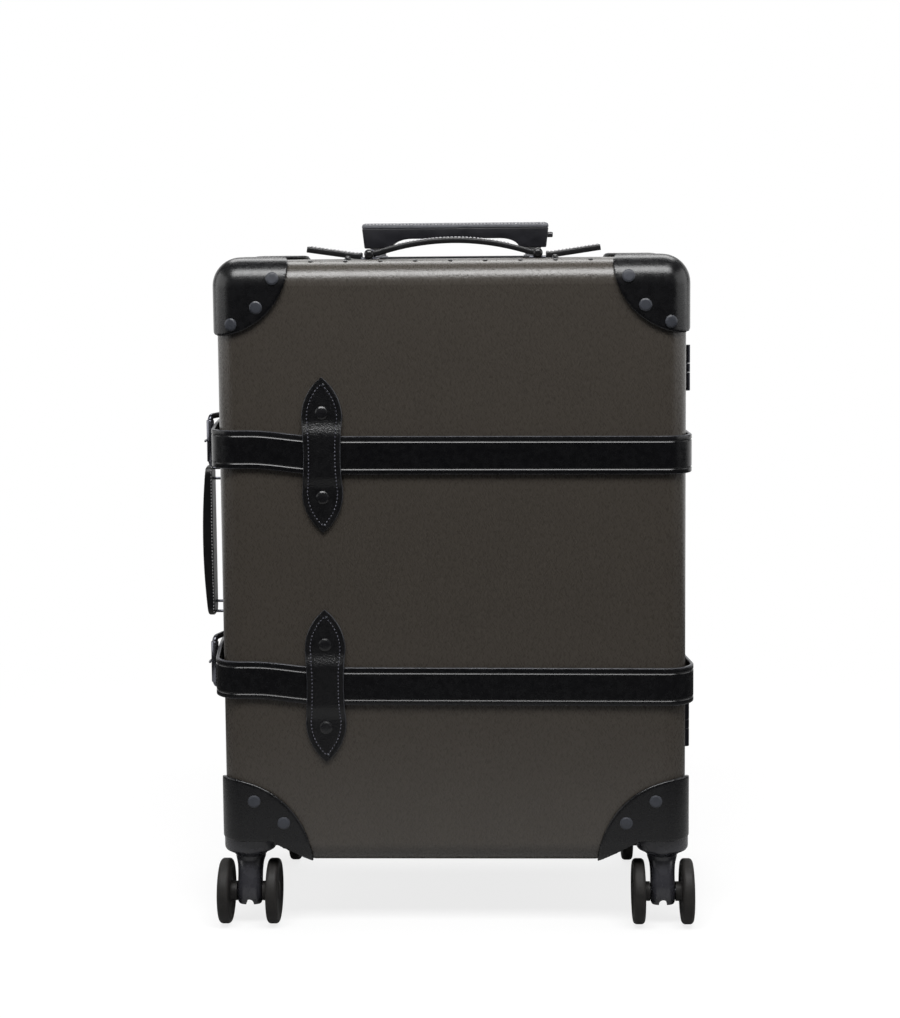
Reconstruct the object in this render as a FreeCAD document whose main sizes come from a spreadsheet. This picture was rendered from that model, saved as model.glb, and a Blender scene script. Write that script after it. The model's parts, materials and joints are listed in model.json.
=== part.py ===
import FreeCAD, Part
import math
import os
import re
import Sketcher

V = FreeCAD.Vector

# A hard-sided cabin trolley case of vulcanised fibreboard, in millimetres.
# X runs across the front, Y goes from the front panel to the back panel, Z is up from the floor.
# The lid is the shallow front half; the deep rear half, called the base, carries the trolley.
sizes = {
    # Case body
    "bodyWidth": 380.0,
    "bodyDepth": 200.0,
    "bodyBottom": 54.0,
    "bodyTop": 550.0,
    "edgeRadius": 20.0,
    "shellWall": 2.4,
    "lidDepth": 62.0,
    "seamGap": 0.4,
    # Rim frames and linings
    "frameDepth": 14.0,
    "frameThickness": 8.0,
    "lidFrameDepth": 12.0,
    "lidFrameThickness": 3.0,
    "lipThickness": 4.0,
    "lipReach": 6.0,
    "softGap": 0.3,
    "liningThickness": 1.2,
    # Leather corners
    "leatherThickness": 3.2,
    "leatherGap": 0.1,
    "topCornerReach": 60.0,
    "bottomCornerReach": 73.0,
    "cornerSeamGap": 1.2,
    # Caster pockets and cups
    "casterSideInset": 18.5,
    "casterEndInset": 24.0,
    "pocketHeight": 20.0,
    "pocketTopRadius": 33.6,
    "pocketFootRadius": 58.0,
    "pocketDrop": 8.0,
    "pocketSeamMargin": 10.0,
    "cupRadius": 21.5,
    "cupHeight": 17.0,
    "cupNeckRadius": 14.0,
    "cupTaper": 7.0,
    # Casters
    "wheelRadius": 26.75,
    "wheelThickness": 10.5,
    "wheelTrail": 8.0,
    "treadRound": 2.0,
    "hubRadius": 8.0,
    "hubGap": 0.3,
    "hubLength": 3.8,
    "axleRadius": 3.0,
    "runningClearance": 0.08,
    "forkWidth": 20.6,
    "forkBossRadius": 10.7,
    "forkNeckRadius": 12.4,
    "forkNeckHeight": 2.2,
    "forkLegDepth": 18.0,
    "forkNotchWidth": 6.6,
    "forkNotchHeight": 4.2,
    "kingpinRadius": 5.0,
    "kingpinLength": 14.0,
    # Trolley
    "tubeSpacing": 137.0,
    "tubeInset": 30.0,
    "tubeWidth": 19.0,
    "tubeDepth": 13.0,
    "tubeWall": 1.0,
    "tubeGap": 0.3,
    "tubeStep": 6.0,
    "footHeight": 10.0,
    "tunnelGap": 2.5,
    "bezelWidth": 172.0,
    "bezelDepth": 25.0,
    "bezelThickness": 1.6,
    "bezelRound": 8.0,
    "gripWidth": 164.0,
    "gripDepth": 21.0,
    "gripHeight": 22.0,
    "gripLift": 7.4,
    "gripLegWidth": 26.0,
    "gripCutHeight": 7.0,
    "gripCutRound": 5.0,
    "gripRound": 7.0,
    "gripCapThickness": 4.6,
    "buttonRadius": 2.4,
    "buttonReach": 4.0,
    "buttonDepth": 9.0,
    "buttonTravel": 3.0,
    "buttonDrop": 11.0,
    # Top handle
    "handleInset": 85.0,
    "lugSpan": 143.4,
    "lugHeight": 4.6,
    "lugRadius": 3.8,
    "lugEar": 3.0,
    "lugPlate": 1.5,
    "lugPlateLength": 14.0,
    "pinRadius": 1.6,
    "topHandleWidth": 23.0,
    "topHandleThickness": 4.8,
    "topHandleRise": 11.0,
    "topGripLength": 92.0,
    "strapEndGap": 2.6,
    "tailLength": 46.0,
    "tailLift": 6.0,
    "tailThickness": 5.0,
    # Side handle
    "upperPinDrop": 27.8,
    "lowerPinRise": 44.6,
    "sideHandleReach": 30.0,
    "sideHandleInner": 18.0,
    "sideHandleEnd": 24.0,
    "sideHandleOver": 7.0,
    "sideHandleWidth": 21.0,
    "loopRadius": 1.2,
    "loopWidth": 9.0,
    "loopAxis": 3.6,
    "mountPlate": 1.4,
    "mountLength": 13.0,
    "mountWidth": 18.0,
    "mountBarrel": 6.0,
    "mountWall": 1.5,
    # Belts and buckles
    "upperBeltHeight": 393.8,
    "lowerBeltHeight": 204.4,
    "billetRise": 5.0,
    "riseInset": 25.7,
    "beltWidth": 31.0,
    "beltThickness": 3.0,
    "beltGap": 0.4,
    "beltSeamGap": 0.8,
    "upperBeltSlack": 2.4,
    "lowerBeltSlack": 6.0,
    "billetSlack": 1.3,
    "heelBarRadius": 2.0,
    "heelBarBack": 42.0,
    "frontBarRadius": 3.0,
    "buckleLength": 34.0,
    "buckleMargin": 2.6,
    "buckleRail": 5.0,
    "railThickness": 4.0,
    "foldClearance": 0.15,
    "chapeRamp": 20.0,
    "chapeLength": 42.0,
    "tipLength": 94.0,
    "prongWidth": 3.4,
    "prongThickness": 2.6,
    "prongSlotGap": 0.6,
    "prongSwing": 4.5,
    "beltLoopLength": 9.0,
    "beltLoopThickness": 2.0,
    # Belt keepers
    "keeperOffset": 104.3,
    "keeperLength": 126.0,
    "keeperLobeWidth": 33.2,
    "keeperWaistWidth": 30.0,
    "keeperLobeHeight": 30.0,
    "keeperLeather": 2.4,
    "keeperShoulder": 3.4,
    "keeperRamp": 5.0,
    "keeperRivetHeight": 34.3,
    # Rivets
    "rivetRadius": 5.2,
    "rivetRim": 0.8,
    "rivetDome": 1.2,
    "rivetSeat": 0.05,
    # Hinges
    "upperHingeRise": 64.7,
    "lowerHingeDrop": 47.4,
    "hingeReach": 7.2,
    "hingeBarrelRadius": 3.4,
    "hingePinRadius": 1.5,
    "hingeLength": 38.0,
    "hingeMiddle": 7.0,
    "hingeGap": 0.5,
    "hingeLeafLength": 18.0,
    "hingeLeafThickness": 1.5,
}

doc = FreeCAD.newDocument("carry_on_case")
sheet = doc.addObject("Spreadsheet::Sheet", "Sizes")
for row, (alias, number) in enumerate(sizes.items(), start=1):
    sheet.set(f"A{row}", str(number))
    sheet.setAlias(f"A{row}", alias)
doc.recompute()

aliasPattern = re.compile(r"\b(" + "|".join(sizes) + r")\b")

# Places worked out from the sizes above, as expressions in the sheet's words.
caseX = "(sideHandleReach - hingeReach) / 2"
halfWidth = "bodyWidth / 2"
halfDepth = "bodyDepth / 2"
seamY = "(lidDepth - bodyDepth / 2)"
casterX = "(bodyWidth / 2 - casterSideInset)"
casterY = "(bodyDepth / 2 - casterEndInset)"
tubeY = "(bodyDepth / 2 - tubeInset)"
handleY = "(bodyDepth / 2 - handleInset)"
hingeX = "(bodyWidth / 2 + hingeReach - hingeBarrelRadius)"


def bound(text):
    return aliasPattern.sub(r"Sizes.\1", str(text))


def value(text):
    return float(sheet.evalExpression(str(text)))


def bind(item, **properties):
    for name, text in properties.items():
        item.setExpression(name, bound(text))


def place(item, x, y, z):
    item.setExpression("Placement.Base.x", bound(f"{caseX} + ({x})"))
    item.setExpression("Placement.Base.y", bound(y))
    item.setExpression("Placement.Base.z", bound(z))


def block(name, xs, ys, zs):
    item = doc.addObject("Part::Box", name)
    bind(item, Length=f"({xs[1]}) - ({xs[0]})", Width=f"({ys[1]}) - ({ys[0]})", Height=f"({zs[1]}) - ({zs[0]})")
    place(item, xs[0], ys[0], zs[0])
    return item


turns = {
    "x": FreeCAD.Rotation(V(0, 1, 0), 90),
    "y": FreeCAD.Rotation(V(1, 0, 0), -90),
    "z": FreeCAD.Rotation(),
}


def rod(name, radius, length, x, y, z, along="z"):
    item = doc.addObject("Part::Cylinder", name)
    bind(item, Radius=radius, Height=length)
    item.Placement = FreeCAD.Placement(V(), turns[along])
    place(item, x, y, z)
    return item


def cut(name, base, tool):
    item = doc.addObject("Part::Cut", name)
    item.Base = base
    item.Tool = tool
    return item


def common(name, base, tool):
    item = doc.addObject("Part::Common", name)
    item.Base = base
    item.Tool = tool
    return item


def fuse(name, pieces):
    item = doc.addObject("Part::MultiFuse", name)
    item.Shapes = pieces
    item.Refine = True
    return item


def group(name, pieces):
    item = doc.addObject("Part::Compound", name)
    item.Links = pieces
    return item


def formed(name, shape):
    item = doc.addObject("Part::Feature", name)
    item.Shape = shape
    item.Placement = FreeCAD.Placement(V(value(caseX), 0, 0), FreeCAD.Rotation()).multiply(shape.Placement)
    return item


def originPlane(body, role):
    return [plane for plane in body.Origin.OriginFeatures if plane.Role == role][0]


def outline(body, role, corners):
    sketch = body.newObject("Sketcher::SketchObject", body.Name + "Outline")
    sketch.AttachmentSupport = [(originPlane(body, role), "")]
    sketch.MapMode = "FlatFace"
    points = [V(value(u), value(v), 0) for u, v in corners]
    count = len(points)
    for index in range(count):
        sketch.addGeometry(Part.LineSegment(points[index], points[(index + 1) % count]))
    for index in range(count):
        sketch.addConstraint(Sketcher.Constraint("Coincident", index, 2, (index + 1) % count, 1))
    for index, (u, v) in enumerate(corners):
        for kind, text, at in (("DistanceX", u, points[index].x), ("DistanceY", v, points[index].y)):
            number = sketch.addConstraint(Sketcher.Constraint(kind, -1, 1, index, 1, at))
            label = f"{kind}{index}"
            sketch.renameConstraint(number, label)
            sketch.setExpression(f"Constraints.{label}", bound(text))
    return sketch


def caseForm(name, grow):
    body = doc.addObject("PartDesign::Body", name)
    left = f"-({halfWidth}) - ({grow})"
    right = f"{halfWidth} + ({grow})"
    front = f"-({halfDepth}) - ({grow})"
    back = f"{halfDepth} + ({grow})"
    sketch = outline(body, "XY_Plane", [(left, front), (right, front), (right, back), (left, back)])
    pad = body.newObject("PartDesign::Pad", name + "Pad")
    pad.Profile = sketch
    bind(pad, Length=f"bodyTop - bodyBottom + 2 * ({grow})")
    doc.recompute()
    rounding = body.newObject("PartDesign::Fillet", name + "Edges")
    rounding.Base = (pad, ["Edge1"])
    rounding.UseAllEdges = True
    bind(rounding, Radius=f"edgeRadius + ({grow})")
    body.Tip = rounding
    place(body, 0, 0, f"bodyBottom - ({grow})")
    return body


def turned(name, role, corners, axis):
    body = doc.addObject("PartDesign::Body", name)
    sketch = outline(body, role, corners)
    spin = body.newObject("PartDesign::Revolution", name + "Turn")
    spin.Profile = sketch
    spin.ReferenceAxis = (sketch, [axis])
    spin.Angle = 360
    body.Tip = spin
    return body


# Plane outlines with rounded corners, as lines joined by tangent arcs.
def shifted(points, distance):
    lines = []
    for start, end in zip(points, points[1:]):
        run = (end - start).normalize()
        side = V(-run.y, run.x, 0) * distance
        lines.append((start + side, run))
    moved = [lines[0][0]]
    for (p, d), (q, e) in zip(lines, lines[1:]):
        across = d.x * e.y - d.y * e.x
        gap = q - p
        along = (gap.x * e.y - gap.y * e.x) / across
        moved.append(p + d * along)
    moved.append(points[-1] + V(-lines[-1][1].y, lines[-1][1].x, 0) * distance)
    return moved


def turnSide(before, corner, after):
    first = corner - before
    second = after - corner
    return math.copysign(1.0, first.x * second.y - first.y * second.x)


def roundedRun(points, radii):
    edges = []
    at = points[0]
    for index in range(1, len(points) - 1):
        corner = points[index]
        back = (points[index - 1] - corner).normalize()
        ahead = (points[index + 1] - corner).normalize()
        half = back.getAngle(ahead) / 2
        reach = radii[index - 1] / math.tan(half)
        start = corner + back * reach
        end = corner + ahead * reach
        bisector = (back + ahead).normalize()
        middle = corner + bisector * (radii[index - 1] / math.sin(half) - radii[index - 1])
        edges.append(Part.LineSegment(at, start).toShape())
        edges.append(Part.Arc(start, middle, end).toShape())
        at = end
    edges.append(Part.LineSegment(at, points[-1]).toShape())
    return edges


def bandFace(points, radii, thickness):
    half = thickness / 2
    turnsHere = [turnSide(*points[i - 1:i + 2]) for i in range(1, len(points) - 1)]
    left = shifted(points, half)
    right = shifted(points, -half)
    leftRun = roundedRun(left, [r - half * s for r, s in zip(radii, turnsHere)])
    rightRun = roundedRun(right, [r + half * s for r, s in zip(radii, turnsHere)])
    caps = [Part.LineSegment(left[-1], right[-1]).toShape(), Part.LineSegment(right[0], left[0]).toShape()]
    return Part.Face(Part.Wire(Part.__sortEdges__(leftRun + rightRun + caps)))


def roundedFace(points, radius):
    middle = (points[0] + points[1]) * 0.5
    loop = [middle] + points[1:] + points[:1] + [middle]
    return Part.Face(Part.Wire(roundedRun(loop, [radius] * len(points))))


# Planes that the flat outlines stand in: the plan view, the front view and the side view.
def planView(shape, z):
    return shape.translated(V(0, 0, z))


def frontView(shape, y):
    turnedShape = shape.copy()
    turnedShape.rotate(V(), V(1, 0, 0), 90)
    return turnedShape.translated(V(0, y, 0))


def sideView(shape, x):
    turnedShape = shape.copy()
    turnedShape.rotate(V(), V(1, 1, 1), 120)
    return turnedShape.translated(V(x, 0, 0))


nodes = {}


def node(label, item):
    item.Label = label
    nodes[label] = item


# Fibreboard shells: one rounded box, hollowed, with a pocket over each caster, cut at the seam.
casterSigns = {
    "front_left": (-1, -1),
    "front_right": (1, -1),
    "rear_left": (-1, 1),
    "rear_right": (1, 1),
}
farSide = "bodyWidth"
lidSide = block("lidSide", (f"-({farSide})", farSide), ("-bodyDepth", f"{seamY} - seamGap / 2"),
                ("0", "2 * bodyTop"))
baseSide = block("baseSide", (f"-({farSide})", farSide), (f"{seamY} + seamGap / 2", "bodyDepth"),
                 ("0", "2 * bodyTop"))


def casterPocket(name, grow, signs, limited):
    x, y = signs
    slope = "(pocketFootRadius - pocketTopRadius) / pocketHeight"
    top = f"pocketTopRadius + ({grow})"
    height = f"pocketHeight + pocketDrop + ({grow})"
    cone = doc.addObject("Part::Cone", name + "Cone")
    bind(cone, Radius1=f"{top} + ({height}) * {slope}", Radius2=top, Height=height)
    place(cone, f"{x} * {casterX}", f"{y} * {casterY}", "bodyBottom - pocketDrop")
    if y > 0 or not limited:
        return cone
    edge = f"{seamY} - pocketSeamMargin + ({grow})"
    limit = block(name + "Limit", (f"-({farSide})", farSide), ("-bodyDepth", edge), ("0", "bodyTop"))
    return common(name, cone, limit)


def casterPockets(name, grow, limited=True):
    pockets = [casterPocket(name + side, grow, signs, limited) for side, signs in casterSigns.items()]
    return fuse(name, pockets)


outerForm = caseForm("outerForm", "0")
hollowForm = caseForm("hollowForm", "-shellWall")
openPockets = casterPockets("openPockets", "0")
walledPockets = casterPockets("walledPockets", "shellWall")
hollow = cut("hollow", hollowForm, walledPockets)
pocketedForm = cut("pocketedForm", outerForm, openPockets)
wholeShell = cut("wholeShell", pocketedForm, hollow)
node("lid_shell", common("lidShell", wholeShell, lidSide))

tubeSides = (-1, 1)
tubeHoles = fuse("tubeHoles", [
    block(f"tubeHole{side}".replace("-", "m"),
          (f"{side} * tubeSpacing / 2 - tubeWidth / 2", f"{side} * tubeSpacing / 2 + tubeWidth / 2"),
          (f"{tubeY} - tubeDepth / 2", f"{tubeY} + tubeDepth / 2"),
          ("bodyTop - 2 * shellWall", "bodyTop + shellWall"))
    for side in tubeSides])
node("base_shell", cut("baseShell", common("baseHalf", wholeShell, baseSide), tubeHoles))

# Rim frames: the base's ring has a lip that reaches into the lid's ring.
lidFrameForm = caseForm("lidFrameForm", "-shellWall - lidFrameThickness")
lipForm = caseForm("lipForm", "-shellWall - frameThickness + lipThickness")
frameForm = caseForm("frameForm", "-shellWall - frameThickness")
clearPockets = casterPockets("clearPockets", "shellWall + softGap")


def rimSlab(name, front, back):
    return block(name, (f"-({farSide})", farSide), (front, back), ("0", "2 * bodyTop"))


lidRing = cut("lidRing", hollowForm, lidFrameForm)
lidRim = rimSlab("lidRim", f"{seamY} - seamGap / 2 - lidFrameDepth", f"{seamY} - seamGap / 2")
node("lid_frame", cut("lidFrame", common("lidRingCut", lidRing, lidRim), clearPockets))

baseRing = cut("baseRing", hollowForm, frameForm)
baseRim = rimSlab("baseRim", f"{seamY} + seamGap / 2", f"{seamY} + seamGap / 2 + frameDepth")
lipRing = cut("lipRing", lipForm, frameForm)
lipRim = rimSlab("lipRim", f"{seamY} - lipReach", f"{seamY} + seamGap / 2 + frameDepth / 2")
baseRimRing = common("baseRingCut", baseRing, baseRim)
node("base_frame", fuse("baseFrame", [baseRimRing, common("lipCut", lipRing, lipRim)]))

# Linings: thin inner skins, with a tunnel over each trolley tube in the base.
liningOuter = caseForm("liningOuter", "-shellWall - softGap")
liningInner = caseForm("liningInner", "-shellWall - softGap - liningThickness")
liningPockets = casterPockets("liningPockets", "shellWall + softGap + liningThickness")


def tubeTunnels(name, grow):
    reach = f"tubeWidth / 2 + tunnelGap + ({grow})"
    front = f"{tubeY} - tubeDepth / 2 - tunnelGap - ({grow})"
    return fuse(name, [
        block(f"{name}{number}",
              (f"{side} * tubeSpacing / 2 - ({reach})", f"{side} * tubeSpacing / 2 + {reach}"),
              (front, "bodyDepth"), ("0", "2 * bodyTop"))
        for number, side in enumerate(tubeSides)])


lidLiningSide = rimSlab("lidLiningSide", "-bodyDepth", f"{seamY} - seamGap / 2 - lidFrameDepth - softGap")
baseLiningSide = rimSlab("baseLiningSide", f"{seamY} + seamGap / 2 + frameDepth + softGap", "bodyDepth")
liningBulk = cut("liningBulk", liningOuter, clearPockets)
liningSkin = cut("liningSkin", liningBulk, cut("liningHollow", liningInner, liningPockets))
node("lid_lining", common("lidLining", liningSkin, lidLiningSide))

tunnelOuter = tubeTunnels("tunnelOuter", "0")
tunnelInner = tubeTunnels("tunnelInner", "liningThickness")
baseBulk = cut("baseBulk", cut("baseBulkForm", liningOuter, clearPockets), tunnelOuter)
baseHollow = cut("baseHollow", cut("baseHollowForm", liningInner, liningPockets), tunnelInner)
node("base_lining", common("baseLining", cut("baseSkin", baseBulk, baseHollow), baseLiningSide))

# Leather corners: pieces of a skin round the case, cut round by a ball at each corner.
leatherOuter = caseForm("leatherOuter", "leatherGap + leatherThickness")
leatherInner = caseForm("leatherInner", "leatherGap")
leatherSkin = cut("leatherSkin", leatherOuter, leatherInner)
fullPockets = casterPockets("fullPockets", "0", limited=False)
lowLeather = cut("lowLeather", leatherSkin, fullPockets)
leatherHalves = {
    "lid": rimSlab("lidLeather", "-bodyDepth", f"{seamY} - cornerSeamGap"),
    "base": rimSlab("baseLeather", f"{seamY} + cornerSeamGap", "bodyDepth"),
}
heights = {
    "top": (leatherSkin, "bodyTop", "topCornerReach"),
    "bottom": (lowLeather, "bodyBottom", "bottomCornerReach"),
}
for half, y in (("lid", -1), ("base", 1)):
    for height, (skin, z, reach) in heights.items():
        for side, x in (("left", -1), ("right", 1)):
            name = f"{half}{height}{side}"
            ball = doc.addObject("Part::Sphere", name + "Ball")
            bind(ball, Radius=reach)
            place(ball, f"{x} * {halfWidth}", f"{y} * {halfDepth}", z)
            corner = common(name + "Corner", common(name + "Patch", skin, ball), leatherHalves[half])
            node(f"{half}_corner_{height}_{side}", corner)

# Casters: a cup in each pocket, a fork on a kingpin, and a pair of wheels on one axle.
axleZ = "wheelRadius"
cupTop = "bodyBottom + pocketHeight"
cupFoot = f"{cupTop} - cupHeight"
wheelInner = "forkWidth / 2 + hubGap + hubLength"
cups = {"lid": [], "base": []}
for corner, (x, y) in casterSigns.items():
    half = "lid" if y < 0 else "base"
    name = corner.replace("_", "")
    axisX = f"{x} * {casterX}"
    axisY = f"{y} * {casterY}"
    bore = "kingpinRadius + runningClearance"
    boreDepth = "kingpinLength + hubGap"
    cup = turned(name + "Cup", "XZ_Plane", [
        (bore, "0"), ("cupNeckRadius", "0"), ("cupRadius", "cupTaper"), ("cupRadius", "cupHeight"),
        ("0", "cupHeight"), ("0", boreDepth), (bore, boreDepth)], "V_Axis")
    place(cup, axisX, axisY, cupFoot)
    cups[half].append(cup)

    wheelY = f"{y} * ({casterY} + wheelTrail)"
    neckTop = f"{cupFoot} - hubGap"
    legFront = f"{y} * ({casterY} + wheelTrail / 2) - forkLegDepth / 2"
    leg = block(name + "Leg", (f"{axisX} - forkWidth / 2", f"{axisX} + forkWidth / 2"),
                (legFront, f"{legFront} + forkLegDepth"), (axleZ, f"{neckTop} - forkNeckHeight / 2"))
    neck = rod(name + "Neck", "forkNeckRadius", "forkNeckHeight", axisX, axisY,
               f"{neckTop} - forkNeckHeight")
    kingpin = rod(name + "Kingpin", "kingpinRadius", "kingpinLength + hubGap", axisX, axisY, neckTop)
    boss = rod(name + "Boss", "forkBossRadius", "forkWidth", f"{axisX} - forkWidth / 2",
               wheelY, axleZ, "x")
    axleBore = rod(name + "AxleBore", "axleRadius + runningClearance", "2 * forkWidth", f"{axisX} - forkWidth",
                   wheelY, axleZ, "x")
    notch = block(name + "Notch", (f"{axisX} - forkNotchWidth / 2", f"{axisX} + forkNotchWidth / 2"),
                  (f"{wheelY} - 2 * forkBossRadius", f"{wheelY} + 2 * forkBossRadius"),
                  ("0", f"{axleZ} - forkBossRadius + forkNotchHeight"))
    bored = cut(name + "Bored", fuse(name + "ForkBlank", [leg, neck, kingpin, boss]), axleBore)
    fork = cut(name + "Fork", bored, notch)
    axleLength = f"2 * ({wheelInner} + wheelThickness / 2)"
    axle = rod(name + "Axle", "axleRadius", axleLength, f"{axisX} - ({axleLength}) / 2", wheelY, axleZ, "x")
    node(f"{corner}_fork", group(name + "ForkGroup", [fork, axle]))

    wheels = []
    for side, sign in (("Inner", -1), ("Outer", 1)):
        near = f"{sign} * ({wheelInner})"
        far = f"{sign} * ({wheelInner} + wheelThickness)"
        cheek = f"{sign} * ({wheelInner} + treadRound)"
        rim = f"{sign} * ({wheelInner} + wheelThickness - treadRound)"
        boreEnd = f"{sign} * ({wheelInner} + wheelThickness / 2 + hubGap)"
        hubEnd = f"{sign} * (forkWidth / 2 + hubGap)"
        wheelBore = "axleRadius + runningClearance"
        wheel = turned(f"{name}Wheel{side}", "XZ_Plane", [
            (hubEnd, wheelBore), (hubEnd, "hubRadius"), (near, "hubRadius"), (near, "wheelRadius - treadRound"),
            (cheek, "wheelRadius"), (rim, "wheelRadius"), (far, "wheelRadius - treadRound"), (far, "0"),
            (boreEnd, "0"), (boreEnd, wheelBore)], "H_Axis")
        place(wheel, axisX, wheelY, axleZ)
        wheels.append(wheel)
    node(f"{corner}_wheels", group(name + "Wheels", wheels))
for half, pieces in cups.items():
    node(f"{half}_caster_cups", group(half + "Cups", pieces))

# Trolley: three telescoping tubes on each side, between feet inside the case and a grip on top.
tubeFoot = "bodyBottom + shellWall + footHeight"


def tubePair(name, inward, foot, top):
    pieces = []
    for number, side in enumerate(tubeSides):
        middle = f"{side} * tubeSpacing / 2"
        width = f"tubeWidth / 2 - ({inward})"
        depth = f"tubeDepth / 2 - ({inward})"
        outside = block(f"{name}Out{number}", (f"{middle} - ({width})", f"{middle} + {width}"),
                        (f"{tubeY} - ({depth})", f"{tubeY} + {depth}"), (foot, top))
        inside = block(f"{name}In{number}",
                       (f"{middle} - ({width} - tubeWall)", f"{middle} + {width} - tubeWall"),
                       (f"{tubeY} - ({depth} - tubeWall)", f"{tubeY} + {depth} - tubeWall"),
                       (f"({foot}) - tubeWall", f"({top}) + tubeWall"))
        pieces.append(cut(f"{name}{number}", outside, inside))
    return group(name, pieces)


nestStep = "tubeWall + tubeGap"
gripFoot = "bodyTop + bezelThickness + gripLift"
node("trolley_outer_tubes", tubePair("outerTubes", "0", tubeFoot, "bodyTop"))
middleTop = "bodyTop + bezelThickness + tubeWall"
node("trolley_middle_tubes", tubePair("middleTubes", nestStep, f"{tubeFoot} + tubeStep", middleTop))
node("trolley_inner_tubes", tubePair("innerTubes", f"2 * ({nestStep})", f"{tubeFoot} + 2 * tubeStep", gripFoot))
footHalf = "(tubeWidth + tunnelGap) / 2"
node("trolley_feet", group("trolleyFeet", [
    block(f"trolleyFoot{number}",
          (f"{side} * tubeSpacing / 2 - {footHalf}", f"{side} * tubeSpacing / 2 + {footHalf}"),
          (f"{tubeY} - (tubeDepth + tunnelGap) / 2", f"{tubeY} + (tubeDepth + tunnelGap) / 2"),
          ("bodyBottom + shellWall", tubeFoot))
    for number, side in enumerate(tubeSides)]))


def corners(xs, ys):
    return [V(xs[0], ys[0], 0), V(xs[1], ys[0], 0), V(xs[1], ys[1], 0), V(xs[0], ys[1], 0)]


bezelX = value("bezelWidth / 2")
bezelFront = value(f"{tubeY} - bezelDepth / 2")
bezelBack = value(f"{tubeY} + bezelDepth / 2")
bezelFace = roundedFace(corners((-bezelX, bezelX), (bezelFront, bezelBack)), value("bezelRound"))
bezelWay = V(0, 0, value("bezelThickness"))
bezelPlate = formed("bezelPlate", planView(bezelFace, value("bodyTop")).extrude(bezelWay))
holeHalf = "(tubeWidth / 2 - tubeWall)"
bezelHoles = fuse("bezelHoles", [
    block(f"bezelHole{number}",
          (f"{side} * tubeSpacing / 2 - {holeHalf}", f"{side} * tubeSpacing / 2 + {holeHalf}"),
          (f"{tubeY} - tubeDepth / 2 + tubeWall", f"{tubeY} + tubeDepth / 2 - tubeWall"),
          ("bodyTop - bezelThickness", "bodyTop + 2 * bezelThickness"))
    for number, side in enumerate(tubeSides)])
node("trolley_bezel", cut("trolleyBezel", bezelPlate, bezelHoles))

# Grip: an arch on two legs with a cap along its top and a release button in its right end.
gripX = value("gripWidth / 2")
legX = value("gripWidth / 2 - gripLegWidth")
gripZ = value(gripFoot)
gripFront = value(f"{tubeY} - gripDepth / 2")
capZ = gripZ + value("gripHeight - gripCapThickness")
cutZ = gripZ + value("gripCutHeight")
gripDepthWay = V(0, value("gripDepth"), 0)
gripRun = [V(-legX, gripZ, 0), V(-legX, cutZ, 0), V(legX, cutZ, 0), V(legX, gripZ, 0)]
gripEdges = roundedRun(gripRun, [value("gripCutRound")] * 2)
gripRest = [(legX, gripZ), (gripX, gripZ), (gripX, capZ), (-gripX, capZ), (-gripX, gripZ), (-legX, gripZ)]
for start, end in zip(gripRest, gripRest[1:]):
    gripEdges.append(Part.LineSegment(V(*start, 0), V(*end, 0)).toShape())
gripFace = Part.Face(Part.Wire(Part.__sortEdges__(gripEdges)))
gripBlank = formed("gripBlank", frontView(gripFace, gripFront).extrude(gripDepthWay))
buttonZ = f"{gripFoot} + gripHeight - buttonDrop"
buttonEnd = "gripWidth / 2 - buttonDepth"
buttonWell = rod("buttonWell", "buttonRadius + runningClearance", "gripWidth",
                 f"{buttonEnd} - buttonTravel - hubGap", tubeY, buttonZ, "x")
node("grip_body", cut("gripBody", gripBlank, buttonWell))
node("grip_button", rod("gripButton", "buttonRadius", "buttonDepth + buttonReach", buttonEnd, tubeY,
                        buttonZ, "x"))

capTop = gripZ + value("gripHeight")
capRun = [V(-gripX, capZ, 0), V(-gripX, capTop, 0), V(gripX, capTop, 0), V(gripX, capZ, 0)]
capEdges = roundedRun(capRun, [min(value("gripRound"), capTop - capZ - value("hubGap"))] * 2)
capEdges.append(Part.LineSegment(V(gripX, capZ, 0), V(-gripX, capZ, 0)).toShape())
capFace = Part.Face(Part.Wire(Part.__sortEdges__(capEdges)))
node("grip_cap", formed("gripCap", frontView(capFace, gripFront).extrude(gripDepthWay)))

# Top handle: a leather arch between two pinned lugs, with a stitched tail beyond each lug.
lugX = value("lugSpan / 2")
deck = value("bodyTop")
pinZ = deck + value("lugHeight")
gripHalf = value("topGripLength / 2")
strapEnd = lugX - value("pinRadius + strapEndGap")
apexZ = pinZ + value("topHandleRise")
archRadius = (strapEnd ** 2 + value("topHandleRise") ** 2) / (2 * value("topHandleRise"))
archHalf = value("topHandleThickness / 2")
handleFront = value(f"{handleY} - topHandleWidth / 2")
handleWay = V(0, value("topHandleWidth"), 0)


def archPoint(x, radius):
    centre = apexZ - archRadius
    angle = math.asin(x / archRadius)
    return V(radius * math.sin(angle), centre + radius * math.cos(angle), 0)


def archStretch(first, last):
    inner = archRadius - archHalf
    outer = archRadius + archHalf
    middle = (first + last) / 2
    edges = [
        Part.Arc(archPoint(first, inner), archPoint(middle, inner), archPoint(last, inner)).toShape(),
        Part.LineSegment(archPoint(last, inner), archPoint(last, outer)).toShape(),
        Part.Arc(archPoint(last, outer), archPoint(middle, outer), archPoint(first, outer)).toShape(),
        Part.LineSegment(archPoint(first, outer), archPoint(first, inner)).toShape(),
    ]
    return frontView(Part.Face(Part.Wire(edges)), handleFront).extrude(handleWay)


node("top_handle_grip", formed("topHandleGrip", archStretch(-gripHalf, gripHalf)))
endInner = gripHalf + value("softGap")
endStraps = [archStretch(-strapEnd, -endInner), archStretch(endInner, strapEnd)]
node("top_handle_straps", formed("topHandleStraps", Part.makeCompound(endStraps)))

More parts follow.
